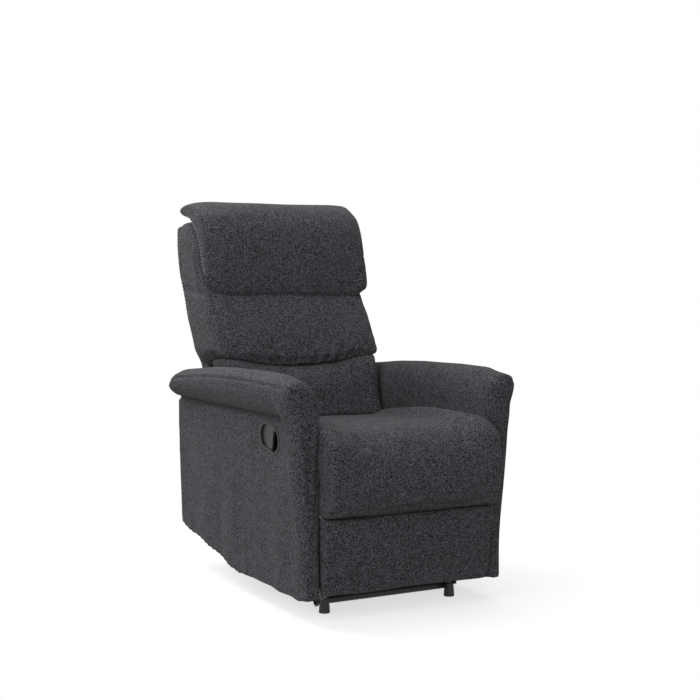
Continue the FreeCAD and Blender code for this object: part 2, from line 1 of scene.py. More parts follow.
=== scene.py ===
"""Recliner armchair: finishes, soft goods and setting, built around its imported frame.

Lengths are metres. Depths are measured from the front plane of the arms, so `at()` turns
(x, depth, height) into the chair's own frame. Left and right are the sitter's.
"""

import json
import logging
import math
from dataclasses import dataclass, field
from enum import Enum
from typing import Callable, Sequence

import bmesh
import bpy
import numpy as np
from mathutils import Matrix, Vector, noise
from mathutils.bvhtree import BVHTree


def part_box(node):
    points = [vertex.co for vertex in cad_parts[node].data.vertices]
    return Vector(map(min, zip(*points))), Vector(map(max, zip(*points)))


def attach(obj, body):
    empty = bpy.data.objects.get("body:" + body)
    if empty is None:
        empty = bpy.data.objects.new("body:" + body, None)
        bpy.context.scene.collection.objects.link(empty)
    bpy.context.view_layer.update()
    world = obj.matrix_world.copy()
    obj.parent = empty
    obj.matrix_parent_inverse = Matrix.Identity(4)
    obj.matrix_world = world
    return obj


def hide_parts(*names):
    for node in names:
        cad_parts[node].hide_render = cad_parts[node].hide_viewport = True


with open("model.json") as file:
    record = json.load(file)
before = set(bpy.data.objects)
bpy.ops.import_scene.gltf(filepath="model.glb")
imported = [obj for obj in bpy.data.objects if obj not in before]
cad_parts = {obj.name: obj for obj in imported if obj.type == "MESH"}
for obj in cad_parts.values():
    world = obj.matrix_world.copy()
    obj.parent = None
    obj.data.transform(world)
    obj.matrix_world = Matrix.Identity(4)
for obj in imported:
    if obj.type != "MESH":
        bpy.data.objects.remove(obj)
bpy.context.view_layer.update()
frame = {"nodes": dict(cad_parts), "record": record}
LOG = logging.getLogger("recliner")

ARM_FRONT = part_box("arm_front_panel_left")[0].y
PANEL_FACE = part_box("arm_outer_panel_left")[1].x
ARM_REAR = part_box("arm_outer_panel_left")[1].y - ARM_FRONT
INNER_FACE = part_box("arm_inner_panel_left")[0].x
SEAT_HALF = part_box("seat_cushion")[1].x
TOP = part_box("headrest_pillow")[1].z
FLARE_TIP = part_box("arm_pad_left")[1].x
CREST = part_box("arm_pad_left")[1].z
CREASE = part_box("arm_pad_left")[0].z

Points = Sequence[tuple[float, ...]]
Field = Callable[[np.ndarray], np.ndarray]


class Side(Enum):
    """The sitter's two sides, as the sign of X."""

    LEFT = 1
    RIGHT = -1


# ---------------------------------------------------------------- geometry helpers
def at(x: float, depth: float, z: float) -> Vector:
    """A place in the chair's frame from its width, depth and height."""
    return Vector((x, ARM_FRONT + depth, z))


def bump(value: np.ndarray, centre: float, width: float) -> np.ndarray:
    """A smooth hill of height 1 at the centre, falling off over the width."""
    return np.exp(-(((value - centre) / width) ** 2))


def smooth(value: np.ndarray, low: float, high: float) -> np.ndarray:
    """0 below low, 1 above high, and smooth in between."""
    t = np.clip((value - low) / (high - low), 0.0, 1.0)
    return t * t * (3.0 - 2.0 * t)


def open_curve(points: Points, count: int) -> np.ndarray:
    """An even run of points on a smooth open curve.

    Args:
        points: The points that the curve passes through.
        count: How many points to return.

    Returns:
        Array of count rows.
    """
    p = np.asarray(points, float)
    p = np.vstack([2 * p[0] - p[1], p, 2 * p[-1] - p[-2]])
    fine = []
    for a, b, c, d in zip(p, p[1:], p[2:], p[3:]):
        t = np.linspace(0, 1, 24, endpoint=False)[:, None]
        fine.append(0.5 * (2 * b + (c - a) * t + (2 * a - 5 * b + 4 * c - d) * t**2
                           + (3 * b - a - 3 * c + d) * t**3))
    line = np.vstack(fine + [p[-2:-1]])
    along = np.concatenate([[0], np.cumsum(np.linalg.norm(np.diff(line, axis=0), axis=1))])
    wanted = np.linspace(0, along[-1], count)
    return np.column_stack([np.interp(wanted, along, line[:, k]) for k in range(line.shape[1])])


def closed_curve(points: Points, count: int) -> np.ndarray:
    """An even run of points on a smooth closed curve; columns after the second are carried along."""
    p = np.asarray(points, float)
    rows = []
    for a, b, c, d in zip(np.roll(p, 1, axis=0), p, np.roll(p, -1, axis=0), np.roll(p, -2, axis=0)):
        t = np.linspace(0, 1, 24, endpoint=False)[:, None]
        rows.append(0.5 * (2 * b + (c - a) * t + (2 * a - 5 * b + 4 * c - d) * t**2
                           + (3 * b - a - 3 * c + d) * t**3))
    line = np.vstack(rows + [p[:1]])
    along = np.concatenate([[0], np.cumsum(np.linalg.norm(np.diff(line[:, :2], axis=0), axis=1))])
    wanted = np.linspace(0, along[-1], count, endpoint=False)
    return np.column_stack([np.interp(wanted, along, line[:, k]) for k in range(p.shape[1])])


def inset(loop: np.ndarray, amount: float) -> np.ndarray:
    """A closed outline moved inwards by an amount, square to itself."""
    ahead = np.roll(loop, -2, axis=0) - np.roll(loop, 2, axis=0)
    ahead /= np.linalg.norm(ahead, axis=1)[:, None] + 1e-9
    normal = np.column_stack([ahead[:, 1], -ahead[:, 0]])
    area = np.sum(loop[:, 0] * np.roll(loop[:, 1], -1) - np.roll(loop[:, 0], -1) * loop[:, 1])
    return loop - normal * amount * (1 if area > 0 else -1)


def mesh_object(name: str, vertices: np.ndarray, faces: list[tuple[int, ...]]) -> bpy.types.Object:
    """A linked, smooth-shaded mesh object with outward normals."""
    mesh = bpy.data.meshes.new(name)
    mesh.from_pydata([tuple(v) for v in vertices], [], faces)
    work = bmesh.new()
    work.from_mesh(mesh)
    bmesh.ops.recalc_face_normals(work, faces=work.faces)
    work.to_mesh(mesh)
    work.free()
    for polygon in mesh.polygons:
        polygon.use_smooth = True
    obj = bpy.data.objects.new(name, mesh)
    bpy.context.scene.collection.objects.link(obj)
    return obj


def loft(name: str, rings: Sequence[np.ndarray]) -> bpy.types.Object:
    """A closed form through rings of equal length, with its ends filled."""
    count = len(rings[0])
    faces: list[tuple[int, ...]] = []
    for row in range(len(rings) - 1):
        for i in range(count):
            j = (i + 1) % count
            faces.append((row * count + i, row * count + j, (row + 1) * count + j, (row + 1) * count + i))
    faces.append(tuple(range(count)))
    faces.append(tuple(range((len(rings) - 1) * count, len(rings) * count)))
    return mesh_object(name, np.vstack(rings), faces)


def coordinates(obj: bpy.types.Object) -> np.ndarray:
    """The mesh's vertex places as rows."""
    co = np.zeros(len(obj.data.vertices) * 3)
    obj.data.vertices.foreach_get("co", co)
    return co.reshape(-1, 3)


def place_vertices(obj: bpy.types.Object, co: np.ndarray) -> None:
    """Write vertex places back to the mesh."""
    obj.data.vertices.foreach_set("co", co.ravel())
    obj.data.update()


def normals(obj: bpy.types.Object) -> np.ndarray:
    """The mesh's vertex normals as rows."""
    no = np.zeros(len(obj.data.vertices) * 3)
    obj.data.vertices.foreach_get("normal", no)
    return no.reshape(-1, 3)


def apply_modifiers(obj: bpy.types.Object) -> None:
    """Replace the mesh by what its modifiers make of it."""
    graph = bpy.context.evaluated_depsgraph_get()
    made = bpy.data.meshes.new_from_object(obj.evaluated_get(graph))
    old = obj.data
    obj.modifiers.clear()
    obj.data = made
    bpy.data.meshes.remove(old)
    for polygon in obj.data.polygons:
        polygon.use_smooth = True


def remesh(obj: bpy.types.Object, voxel: float) -> None:
    """Give the form an even skin of small faces."""
    mod = obj.modifiers.new("even", "REMESH")
    mod.mode = "VOXEL"
    mod.voxel_size = voxel
    relax = obj.modifiers.new("relax", "SMOOTH")
    relax.factor = 0.5
    relax.iterations = 4
    apply_modifiers(obj)


def subdivide(obj: bpy.types.Object) -> None:
    """Halve the mesh's faces and round them."""
    mod = obj.modifiers.new("finer", "SUBSURF")
    mod.levels = 1
    mod.render_levels = 1
    apply_modifiers(obj)


def inflate(obj: bpy.types.Object, pressure: float, cap: float, frames: int = 20) -> None:
    """Blow the form up as sewn cloth over filling, and keep the result.

    Args:
        obj: The closed form, already evenly meshed.
        pressure: Cloth pressure.
        cap: The furthest that a point may move.
        frames: How many frames of simulation to run.
    """
    scene = bpy.context.scene
    rest = coordinates(obj)
    mod = obj.modifiers.new("puff", "CLOTH")
    cloth = mod.settings
    cloth.quality = 4
    cloth.use_pressure = True
    cloth.uniform_pressure_force = pressure
    cloth.effector_weights.gravity = 0.0
    mod.collision_settings.use_collision = False
    mod.point_cache.frame_start = 1
    mod.point_cache.frame_end = frames
    for number in range(1, frames + 1):
        scene.frame_set(number)
    graph = bpy.context.evaluated_depsgraph_get()
    blown = obj.evaluated_get(graph).data
    co = np.zeros(len(blown.vertices) * 3)
    blown.vertices.foreach_get("co", co)
    obj.modifiers.remove(mod)
    scene.frame_set(1)
    move = co.reshape(-1, 3) - rest
    length = np.linalg.norm(move, axis=1)[:, None] + 1e-9
    place_vertices(obj, rest + move * np.minimum(1.0, cap / length))


def distance_to(path: np.ndarray, co: np.ndarray) -> np.ndarray:
    """How far each point lies from a run of short straight pieces."""
    best = np.full(len(co), 1e9)
    for a, b in zip(path, path[1:]):
        run = b - a
        t = np.clip(((co - a) @ run) / (run @ run + 1e-12), 0.0, 1.0)
        best = np.minimum(best, np.linalg.norm(co - (a + t[:, None] * run), axis=1))
    return best


def groove(obj: bpy.types.Object, path: np.ndarray, depth: float, width: float, pillow: float = 0.0) -> None:
    """Sink a sewn seam into the surface, with the fabric swelling beside it.

    Args:
        obj: The form.
        path: Places along the seam.
        depth: How deep the seam sits.
        width: Half-width of the sunken line.
        pillow: Height of the swelling on each side.
    """
    co = coordinates(obj)
    gap = distance_to(path, co)
    lift = pillow * (bump(gap, 3.0 * width, 2.0 * width)) - depth * np.exp(-((gap / width) ** 2))
    place_vertices(obj, co + normals(obj) * lift[:, None])


def ripple(obj: bpy.types.Object, height: float, scale: tuple[float, float, float], seed: float,
           mask: Field | None = None) -> None:
    """Soft uneven waves of the fabric, stretched along the axes by the scale."""
    co = coordinates(obj)
    wave = np.array([noise.noise(Vector((c[0] * scale[0] + seed, c[1] * scale[1] - seed, c[2] * scale[2])))
                     for c in co])
    if mask is not None:
        wave = wave * mask(co)
    place_vertices(obj, co + normals(obj) * (wave * height)[:, None])


def rest_on_surface(target: bpy.types.Object, points: np.ndarray, lift: float) -> tuple[np.ndarray, np.ndarray]:
    """Places and normals of the surface nearest to the points."""
    graph = bpy.context.evaluated_depsgraph_get()
    tree = BVHTree.FromObject(target, graph)
    places, facing = [], []
    for point in points:
        hit, normal, _, _ = tree.find_nearest(Vector(point))
        places.append(hit + normal * lift)
        facing.append(normal)
    return np.array(places), np.array(facing)


def stitches(name: str, target: bpy.types.Object, path: np.ndarray, pitch: float = 0.0075,
             length: float = 0.0048, radius: float = 0.0007) -> bpy.types.Object:
    """A row of short thread stitches lying on a surface.

    Args:
        name: The new piece's name.
        target: The surface that they lie on.
        path: The line that they follow.
        pitch: From one stitch to the next.
        length: Length of one stitch.
        radius: Thickness of the thread.

    Returns:
        The joined stitches.
    """
    total = float(np.sum(np.linalg.norm(np.diff(path, axis=0), axis=1)))
    count = max(2, int(total / pitch))
    line = open_curve(path, count + 1)
    places, facing = rest_on_surface(target, line, radius * 0.4)
    vertices: list[np.ndarray] = []
    faces: list[tuple[int, ...]] = []
    around = 6
    for a, b, n in zip(places, places[1:], facing):
        along = (b - a) / (np.linalg.norm(b - a) + 1e-9)
        across = np.cross(along, n)
        across /= np.linalg.norm(across) + 1e-9
        up = np.cross(across, along)
        start = len(vertices)
        for share, size in ((0.0, 0.35), (0.12, 0.9), (0.5, 1.1), (0.88, 0.9), (1.0, 0.35)):
            centre = a + along * length * share
            for k in range(around):
                angle = 2 * math.pi * k / around
                vertices.append(centre + (across * math.cos(angle) + up * math.sin(angle)) * radius * size)
        for ring in range(4):
            for k in range(around):
                j = (k + 1) % around
                low = start + ring * around
                faces.append((low + k, low + j, low + around + j, low + around + k))
        faces.append(tuple(range(start, start + around)))
        faces.append(tuple(range(start + 4 * around, start + 5 * around)))
    return mesh_object(name, np.array(vertices), faces)


# ---------------------------------------------------------------- finishes
class Nodes:
    """A node tree with short ways to add and join nodes."""

    def __init__(self, tree: bpy.types.NodeTree) -> None:
        self.tree = tree

    def add(self, kind: str, **settings: object) -> bpy.types.Node:
        """A new node; each setting is an attribute or, failing that, an input socket."""
        node = self.tree.nodes.new(kind)
        for name, value in settings.items():
            if hasattr(node, name):
                setattr(node, name, value)
            else:
                node.inputs[name.replace("_", " ")].default_value = value
        return node

    def join(self, source: bpy.types.NodeSocket, target: bpy.types.NodeSocket) -> None:
        """Link two sockets."""
        self.tree.links.new(source, target)

    def math(self, operation: str, first: object, second: object = 0.0) -> bpy.types.NodeSocket:
        """The result of a sum; each input is a number or a socket."""
        node = self.add("ShaderNodeMath", operation=operation)
        for socket, value in zip(node.inputs, (first, second)):
            if isinstance(value, bpy.types.NodeSocket):
                self.join(value, socket)
            else:
                socket.default_value = value
        return node.outputs[0]

    def noise(self, vector: bpy.types.NodeSocket, scale: float, detail: float = 3.0,
              roughness: float = 0.55) -> bpy.types.NodeSocket:
        """Soft noise from 0 to 1."""
        node = self.add("ShaderNodeTexNoise")
        node.inputs["Scale"].default_value = scale
        node.inputs["Detail"].default_value = detail
        node.inputs["Roughness"].default_value = roughness
        self.join(vector, node.inputs["Vector"])
        return node.outputs["Fac"]

    def span(self, value: bpy.types.NodeSocket, low: float, high: float, new_low: float = 0.0,
             new_high: float = 1.0) -> bpy.types.NodeSocket:
        """Map a range of values onto another."""
        node = self.add("ShaderNodeMapRange")
        for socket, number in zip(list(node.inputs)[1:5], (low, high, new_low, new_high)):
            socket.default_value = number
        self.join(value, node.inputs[0])
        return node.outputs[0]

    def mix(self, share: bpy.types.NodeSocket, first: object, second: object) -> bpy.types.NodeSocket:
        """Blend two colours."""
        node = self.add("ShaderNodeMix", data_type="RGBA")
        self.join(share, node.inputs["Factor"])
        for socket, value in zip((node.inputs[6], node.inputs[7]), (first, second)):
            if isinstance(value, bpy.types.NodeSocket):
                self.join(value, socket)
            else:
                socket.default_value = (*value, 1.0)
        return node.outputs[2]


def new_group(name: str, inputs: dict[str, float], outputs: dict[str, str]) -> Nodes:
    """A shader node group with number inputs and the given outputs."""
    tree = bpy.data.node_groups.new(name, "ShaderNodeTree")
    for label, value in inputs.items():
        socket = tree.interface.new_socket(name=label, in_out="INPUT", socket_type="NodeSocketFloat")
        socket.default_value = value
    for label, kind in outputs.items():
        tree.interface.new_socket(name=label, in_out="OUTPUT", socket_type=kind)
    tree.nodes.new("NodeGroupInput")
    tree.nodes.new("NodeGroupOutput")
    return Nodes(tree)


def weave_group() -> bpy.types.NodeTree:
    """Chenille cloth: mottled yarn shade, yarn height and broad wear, all from object places."""
    n = new_group("chenille_weave", {"Yarn": 560.0},
                  {"Shade": "NodeSocketFloat", "Height": "NodeSocketFloat", "Wear": "NodeSocketFloat"})
    tree = n.tree
    source = tree.nodes["Group Input"]
    sink = tree.nodes["Group Output"]
    place = n.add("ShaderNodeTexCoord").outputs["Object"]
    wobble = n.noise(place, 90.0, 2.0)
    push = n.add("ShaderNodeVectorMath", operation="SCALE")
    n.join(place, push.inputs[0])
    n.join(n.span(wobble, 0.0, 1.0, 0.9965, 1.0035), push.inputs["Scale"])
    yarn = n.add("ShaderNodeTexVoronoi", feature="F1")
    yarn.inputs["Randomness"].default_value = 0.9
    n.join(push.outputs[0], yarn.inputs["Vector"])
    n.join(source.outputs["Yarn"], yarn.inputs["Scale"])
    hue = n.add("ShaderNodeSeparateColor")
    n.join(yarn.outputs["Color"], hue.inputs[0])
    fleck = n.noise(place, 400.0, 2.0, 0.7)
    cloud = n.noise(place, 42.0, 3.0)
    broad = n.noise(place, 5.0, 2.0)
    shade = n.math("ADD", n.math("MULTIPLY", hue.outputs[0], 0.62), n.math("MULTIPLY", fleck, 0.66))
    shade = n.math("ADD", shade, n.math("MULTIPLY", cloud, 0.16))
    n.join(n.span(shade, 0.52, 1.06), sink.inputs["Shade"])
    lump = n.math("SUBTRACT", 1.0, n.math("MULTIPLY", yarn.outputs["Distance"], 1.1))
    n.join(n.math("ADD", lump, n.math("MULTIPLY", fleck, 0.8)), sink.inputs["Height"])
    n.join(n.span(broad, 0.3, 0.7), sink.inputs["Wear"])
    return tree


def grain_group() -> bpy.types.NodeTree:
    """Sawn wood: long grain, growth bands and pores."""
    n = new_group("wood_grain", {"Stretch": 14.0}, {"Shade": "NodeSocketFloat", "Pores": "NodeSocketFloat"})
    tree = n.tree
    place = n.add("ShaderNodeTexCoord").outputs["Object"]
    turn = n.add("ShaderNodeMapping")
    turn.inputs["Scale"].default_value = (14.0, 1.2, 14.0)
    n.join(place, turn.inputs["Vector"])
    band = n.noise(turn.outputs[0], 2.5, 4.0, 0.6)
    fine = n.noise(turn.outputs[0], 24.0, 3.0, 0.7)
    mixed = n.math("ADD", n.math("MULTIPLY", band, 0.7), n.math("MULTIPLY", fine, 0.3))
    n.join(n.span(mixed, 0.3, 0.7), tree.nodes["Group Output"].inputs["Shade"])
    n.join(n.span(fine, 0.35, 0.75), tree.nodes["Group Output"].inputs["Pores"])
    return tree


def surface_group() -> bpy.types.NodeTree:
    """Worked metal or moulded plastic: fine grain, scuffs and dust."""
    n = new_group("worked_surface", {"Grain": 900.0},
                  {"Grain": "NodeSocketFloat", "Scuff": "NodeSocketFloat", "Dust": "NodeSocketFloat"})
    tree = n.tree
    place = n.add("ShaderNodeTexCoord").outputs["Object"]
    node = n.add("ShaderNodeTexNoise")
    node.inputs["Detail"].default_value = 2.0
    n.join(tree.nodes["Group Input"].outputs["Grain"], node.inputs["Scale"])
    n.join(place, node.inputs["Vector"])
    n.join(node.outputs["Fac"], tree.nodes["Group Output"].inputs["Grain"])
    scuff = n.noise(place, 60.0, 5.0, 0.7)
    n.join(n.span(scuff, 0.45, 0.75), tree.nodes["Group Output"].inputs["Scuff"])
    n.join(n.span(n.noise(place, 9.0, 3.0), 0.35, 0.7), tree.nodes["Group Output"].inputs["Dust"])
    return tree


@dataclass(frozen=True)
class Finish:
    """One material: its colours and how its shader group drives them.

    Attributes:
        name: Material name.
        dark: Linear colour of the low parts.
        light: Linear colour of the high parts.
        rough: Roughness of the low and high parts.
        metal: Metallic share.
        group: Which shared group shapes it.
        outputs: Names of the group's colour mask, height and roughness mask.
        depth: Bump depth in metres.
        fuzz: Sheen weight of the cloth.
        coat: Clear coat weight.
        gloss: Specular level.
        setting: Value for the group's own input.
    """

    name: str
    dark: tuple[float, float, float]
    light: tuple[float, float, float]
    rough: tuple[float, float] = (0.5, 0.7)
    metal: float = 0.0
    group: str = "worked_surface"
    outputs: tuple[str, str, str] = ("Scuff", "Grain", "Dust")
    depth: float = 0.0001
    fuzz: float = 0.0
    coat: float = 0.0
    gloss: float = 0.5
    setting: float = 900.0

    def make(self) -> bpy.types.Material:
        """The Blender material."""
        material = bpy.data.materials.new(self.name)
        material.use_nodes = True
        n = Nodes(material.node_tree)
        shader = n.tree.nodes["Principled BSDF"]
        group = n.add("ShaderNodeGroup")
        group.node_tree = bpy.data.node_groups[self.group]
        group.inputs[0].default_value = self.setting
        tone, height, wear = (group.outputs[label] for label in self.outputs)
        n.join(n.mix(tone, self.dark, self.light), shader.inputs["Base Color"])
        n.join(n.span(wear, 0.0, 1.0, *self.rough), shader.inputs["Roughness"])
        bump_node = n.add("ShaderNodeBump")
        bump_node.inputs["Strength"].default_value = 1.0
        bump_node.inputs["Distance"].default_value = self.depth
        n.join(height, bump_node.inputs["Height"])
        n.join(bump_node.outputs[0], shader.inputs["Normal"])
        shader.inputs["Metallic"].default_value = self.metal
        shader.inputs["Coat Weight"].default_value = self.coat
        shader.inputs["Specular IOR Level"].default_value = self.gloss
        shader.inputs["Sheen Weight"].default_value = self.fuzz
        shader.inputs["Sheen Roughness"].default_value = 0.55
        return material


CLOTH = Finish("charcoal_chenille", (0.0030, 0.0030, 0.0033), (0.090, 0.087, 0.099), (0.86, 0.97),
               group="chenille_weave", outputs=("Shade", "Height", "Wear"), depth=0.0008, fuzz=0.03, gloss=0.12,
               setting=560.0)
PLAIN_THREAD = Finish("cover_thread", (0.02, 0.02, 0.022), (0.07, 0.07, 0.075), (0.6, 0.8), depth=0.0002)
THREAD = Finish("stitch_thread", (0.16, 0.16, 0.17), (0.30, 0.30, 0.32), (0.6, 0.8), depth=0.0002)
WOOD = Finish("sawn_beech", (0.33, 0.20, 0.10), (0.58, 0.40, 0.22), (0.55, 0.75), group="wood_grain",
              outputs=("Shade", "Pores", "Pores"), depth=0.0003, setting=14.0)
BLACK_STEEL = Finish("black_painted_steel", (0.010, 0.010, 0.011), (0.022, 0.022, 0.023), (0.32, 0.5), coat=0.15)
ZINC = Finish("zinc_plated_steel", (0.42, 0.43, 0.44), (0.62, 0.62, 0.60), (0.28, 0.45), metal=1.0)
SPRING = Finish("spring_wire", (0.20, 0.20, 0.21), (0.34, 0.34, 0.35), (0.3, 0.5), metal=1.0)
PLASTIC = Finish("black_moulded_plastic", (0.012, 0.012, 0.013), (0.022, 0.022, 0.024), (0.28, 0.42), depth=0.00006)
LEVER = Finish("grey_moulded_plastic", (0.030, 0.030, 0.032), (0.048, 0.048, 0.05), (0.32, 0.46), depth=0.00006)
SLEEVE = Finish("cable_sleeve_plastic", (0.014, 0.014, 0.015), (0.03, 0.03, 0.032), (0.4, 0.6))

SLOT_FINISH = {
    "woven_fabric": CLOTH, "frame_wood": WOOD, "black_steel": BLACK_STEEL, "zinc_steel": ZINC,
    "spring_steel": SPRING, "black_plastic": PLASTIC, "cable_sleeve": SLEEVE,
}


class Workshop:
    """Makes each material once and dresses pieces with it."""

    def __init__(self) -> None:
        for make in (weave_group, grain_group, surface_group):
            make()
        self.made: dict[str, bpy.types.Material] = {}

    def material(self, finish: Finish) -> bpy.types.Material:
        """The finish's material."""
        if finish.name not in self.made:
            self.made[finish.name] = finish.make()
        return self.made[finish.name]

    def dress(self, obj: bpy.types.Object, finish: Finish) -> None:
        """Give a piece one finish all over."""
        obj.data.materials.clear()
        obj.data.materials.append(self.material(finish))

    def dress_construction(self) -> int:
        """Give every construction node the finish of its slot."""
        slots = {part["node"]: part["material_slot"] for part in frame["record"]["subparts"]}
        for name, slot in slots.items():
            self.dress(frame["nodes"][name], LEVER if name == "release_lever" else SLOT_FINISH[slot])
        return len(slots)


# ---------------------------------------------------------------- upholstery
def sweep_across(name: str, loops: Callable[[float], np.ndarray], half: float, rounding: float,
                 stations: int = 40) -> bpy.types.Object:
    """A closed form from a side outline carried across the width, with rounded ends.

    Args:
        name: The new piece's name.
        loops: The closed (depth, z) outline at a given x; always the same number of points.
        half: Half of the width.
        rounding: Radius at the two ends.
        stations: How many outlines lie between the ends.

    Returns:
        The closed mesh.
    """
    places: list[tuple[float, float]] = []
    for angle in np.linspace(0, math.pi / 2, 8)[:-1]:
        places.append((half - rounding + rounding * math.sin(math.pi / 2 - angle),
                       rounding * (1 - math.cos(math.pi / 2 - angle))))
    middle = [(x, 0.0) for x in np.linspace(half - rounding, rounding - half, stations)]
    spots = places + middle + [(-x, amount) for x, amount in reversed(places)]
    rings = []
    for x, amount in spots:
        loop = inset(loops(x), amount)
        rings.append(np.column_stack([np.full(len(loop), x), ARM_FRONT + loop[:, 0], loop[:, 1]]))
    return loft(name, rings)


def widen(obj: bpy.types.Object, share: Field) -> None:
    """Scale the form's x by a share that depends on place."""
    co = coordinates(obj)
    co[:, 0] *= share(co)
    place_vertices(obj, co)


def chair_path(points: Points) -> np.ndarray:
    """Rows of (x, depth, z) as places in the chair's frame."""
    return np.array([at(*p) for p in points])


@dataclass
class Upholstery:
    """What every covered piece shares.

    Attributes:
        workshop: Where finishes come from.
        made: The pieces built so far.
    """

    workshop: Workshop
    made: list[bpy.types.Object] = field(default_factory=list)

    def keep(self, obj: bpy.types.Object, body: str, nodes: Sequence[str], finish: Finish = CLOTH,
             fill: float | None = 0.6) -> bpy.types.Object:
        """Declare a finished piece: what it rides, replaces and is made of."""
        self.workshop.dress(obj, finish)
        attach(obj, body)
        if nodes:
            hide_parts(*nodes)
        self.made.append(obj)
        LOG.info("%s: %d faces", obj.name, len(obj.data.polygons))
        return obj

    def sew(self, name: str, target: bpy.types.Object, path: np.ndarray, body: str,
            finish: Finish = THREAD) -> None:
        """Lay a row of stitches on a piece and let it ride the same body."""
        bold = {"pitch": 0.0105, "length": 0.0062, "radius": 0.0011} if finish is THREAD else {}
        thread = stitches(name, target, path, **bold)
        self.keep(thread, body, (), finish, None)


@dataclass
class ArmCover(Upholstery):
    """The sewn cover of one arm: inner and top piece, wrapped outer and front piece.

    Attributes:
        side: Which arm.
    """

    side: Side = Side.LEFT

    BODY = (
        (0.000, 0.060, 0.023, 0.100, 0.013), (0.000, 0.190, 0.023, 0.190, 0.012),
        (0.000, 0.300, 0.023, 0.300, 0.010), (0.000, 0.440, 0.023, 0.440, 0.006),
        (0.001, 0.500, 0.024, 0.490, 0.006), (0.004, 0.545, 0.034, 0.525, 0.018),
        (0.012, 0.577, 0.042, 0.543, 0.026), (0.025, 0.598, 0.048, 0.558, 0.027),
        (0.041, 0.609, 0.055, 0.568, 0.027), (0.058, 0.611, 0.062, 0.573, 0.027),
        (0.075, 0.605, 0.069, 0.574, 0.024), (0.088, 0.596, 0.075, 0.572, 0.019),
        (0.0955, 0.585, 0.079, 0.568, 0.013), (0.0975, 0.569, 0.079, 0.561, 0.017),
        (0.094, 0.549, 0.072, 0.548, 0.021), (0.084, 0.529, 0.058, 0.531, 0.024),
        (0.069, 0.511, 0.042, 0.512, 0.024), (0.0475, 0.499, 0.026, 0.497, 0.020),
        (0.0515, 0.484, 0.024, 0.480, 0.020), (0.052, 0.450, 0.023, 0.450, 0.020),
        (0.051, 0.380, 0.023, 0.380, 0.020), (0.049, 0.300, 0.023, 0.300, 0.016),
        (0.047, 0.180, 0.023, 0.180, 0.011), (0.046, 0.062, 0.023, 0.100, 0.010),
        (0.040, 0.056, 0.023, 0.100, 0.010), (0.006, 0.056, 0.023, 0.100, 0.012),
    )
    NOSE = (
        (0.000, 0.060), (0.000, 0.190), (0.000, 0.300), (0.000, 0.440), (0.000, 0.495), (0.002, 0.535),
        (0.008, 0.563), (0.022, 0.585), (0.038, 0.595), (0.055, 0.599), (0.071, 0.597), (0.084, 0.592),
        (0.0915, 0.581), (0.0945, 0.563), (0.092, 0.540), (0.085, 0.515), (0.077, 0.490), (0.071, 0.466),
        (0.067, 0.440), (0.065, 0.412), (0.062, 0.360), (0.057, 0.290), (0.050, 0.180), (0.046, 0.062),
        (0.040, 0.056), (0.006, 0.056),
    )
    FRONT_SEAM = (
        (0.083, 0.574), (0.064, 0.573), (0.040, 0.565), (0.019, 0.540), (0.007, 0.517), (0.003, 0.492),
        (0.003, 0.463), (0.008, 0.414), (0.011, 0.301), (0.021, 0.189), (0.025, 0.075),
    )
    OUTER_SEAM = (
        (0.083, 0.582), (0.078, 0.568), (0.070, 0.553), (0.061, 0.527), (0.052, 0.490), (0.048, 0.450),
        (0.048, 0.400), (0.047, 0.300), (0.043, 0.160), (0.040, 0.075),
    )
    PLUMB = 0.006
    WRAP = 2.4

    def section(self, depth: float, turn: float | None = None, count: int = 300) -> np.ndarray:
        """The arm's outline at one depth, as places in the chair's frame.

        Args:
            depth: Distance behind the front plane.
            turn: On the rounded front edge, how far round it is, from 0 at the side to a
                quarter turn on the front face; None behind that edge.
            count: How many places to return.
        """
        share = float(smooth(np.array(depth), 0.020, 0.090))
        arch = -0.021 * ((depth - 0.25) / 0.5) ** 2 if depth > 0.25 else 0.0
        fall = 0.067 * max(0.0, depth - 0.40) / 0.43
        rows = []
        for (dx, z, mx, mz, radius), (nose_x, nose_z) in zip(self.BODY, self.NOSE):
            dx = nose_x + (dx - nose_x) * share
            z = nose_z + (z - nose_z) * share
            if self.side is Side.LEFT and dx > 0.060 and z > CREASE:
                dx -= 0.007
            above = min(1.0, max(0.0, (z - CREASE) / 0.06))
            z += arch * above
            low = max(0.0, 1.0 - (z - 0.056) / 0.30)
            z += fall * low
            mz += fall * low + arch * above
            if self.side is Side.LEFT and 0.02 < z < 0.53 and dx < 0.02:
                radius = 0.021
            rows.append((dx, z, mx, mz, radius))
        loop = closed_curve(rows, count)
        way = loop[:, 2:4] - loop[:, 0:2]
        reach = np.linalg.norm(way, axis=1) + 1e-9
        radius = loop[:, 4]
        front = -0.001 - self.PLUMB * smooth(loop[:, 1], 0.10, 0.52)
        if turn is None:
            place = loop[:, 0:2]
            behind = np.full(len(loop), depth)
        else:
            place = loop[:, 0:2] + way * (np.minimum(1.0, radius * (1 - math.cos(turn)) / reach))[:, None]
            soft = smooth(loop[:, 0], 0.020, 0.050) * smooth(-loop[:, 1], -0.592, -0.560)
            if self.side is Side.LEFT:
                soft = smooth(-loop[:, 0], -0.030, -0.006) * smooth(-loop[:, 1], -0.57, -0.52)
            behind = front + radius * (1 - math.sin(turn)) * (1 + (self.WRAP - 1) * soft)
        lift = np.clip((place[:, 1] - CREASE) / 0.080, 0.0, 1.0)
        behind = np.where(behind > 0.40, behind - (behind - 0.40) / 0.43 * 0.083 * lift, behind)
        return np.column_stack([INNER_FACE + place[:, 0], ARM_FRONT + behind, place[:, 1]])

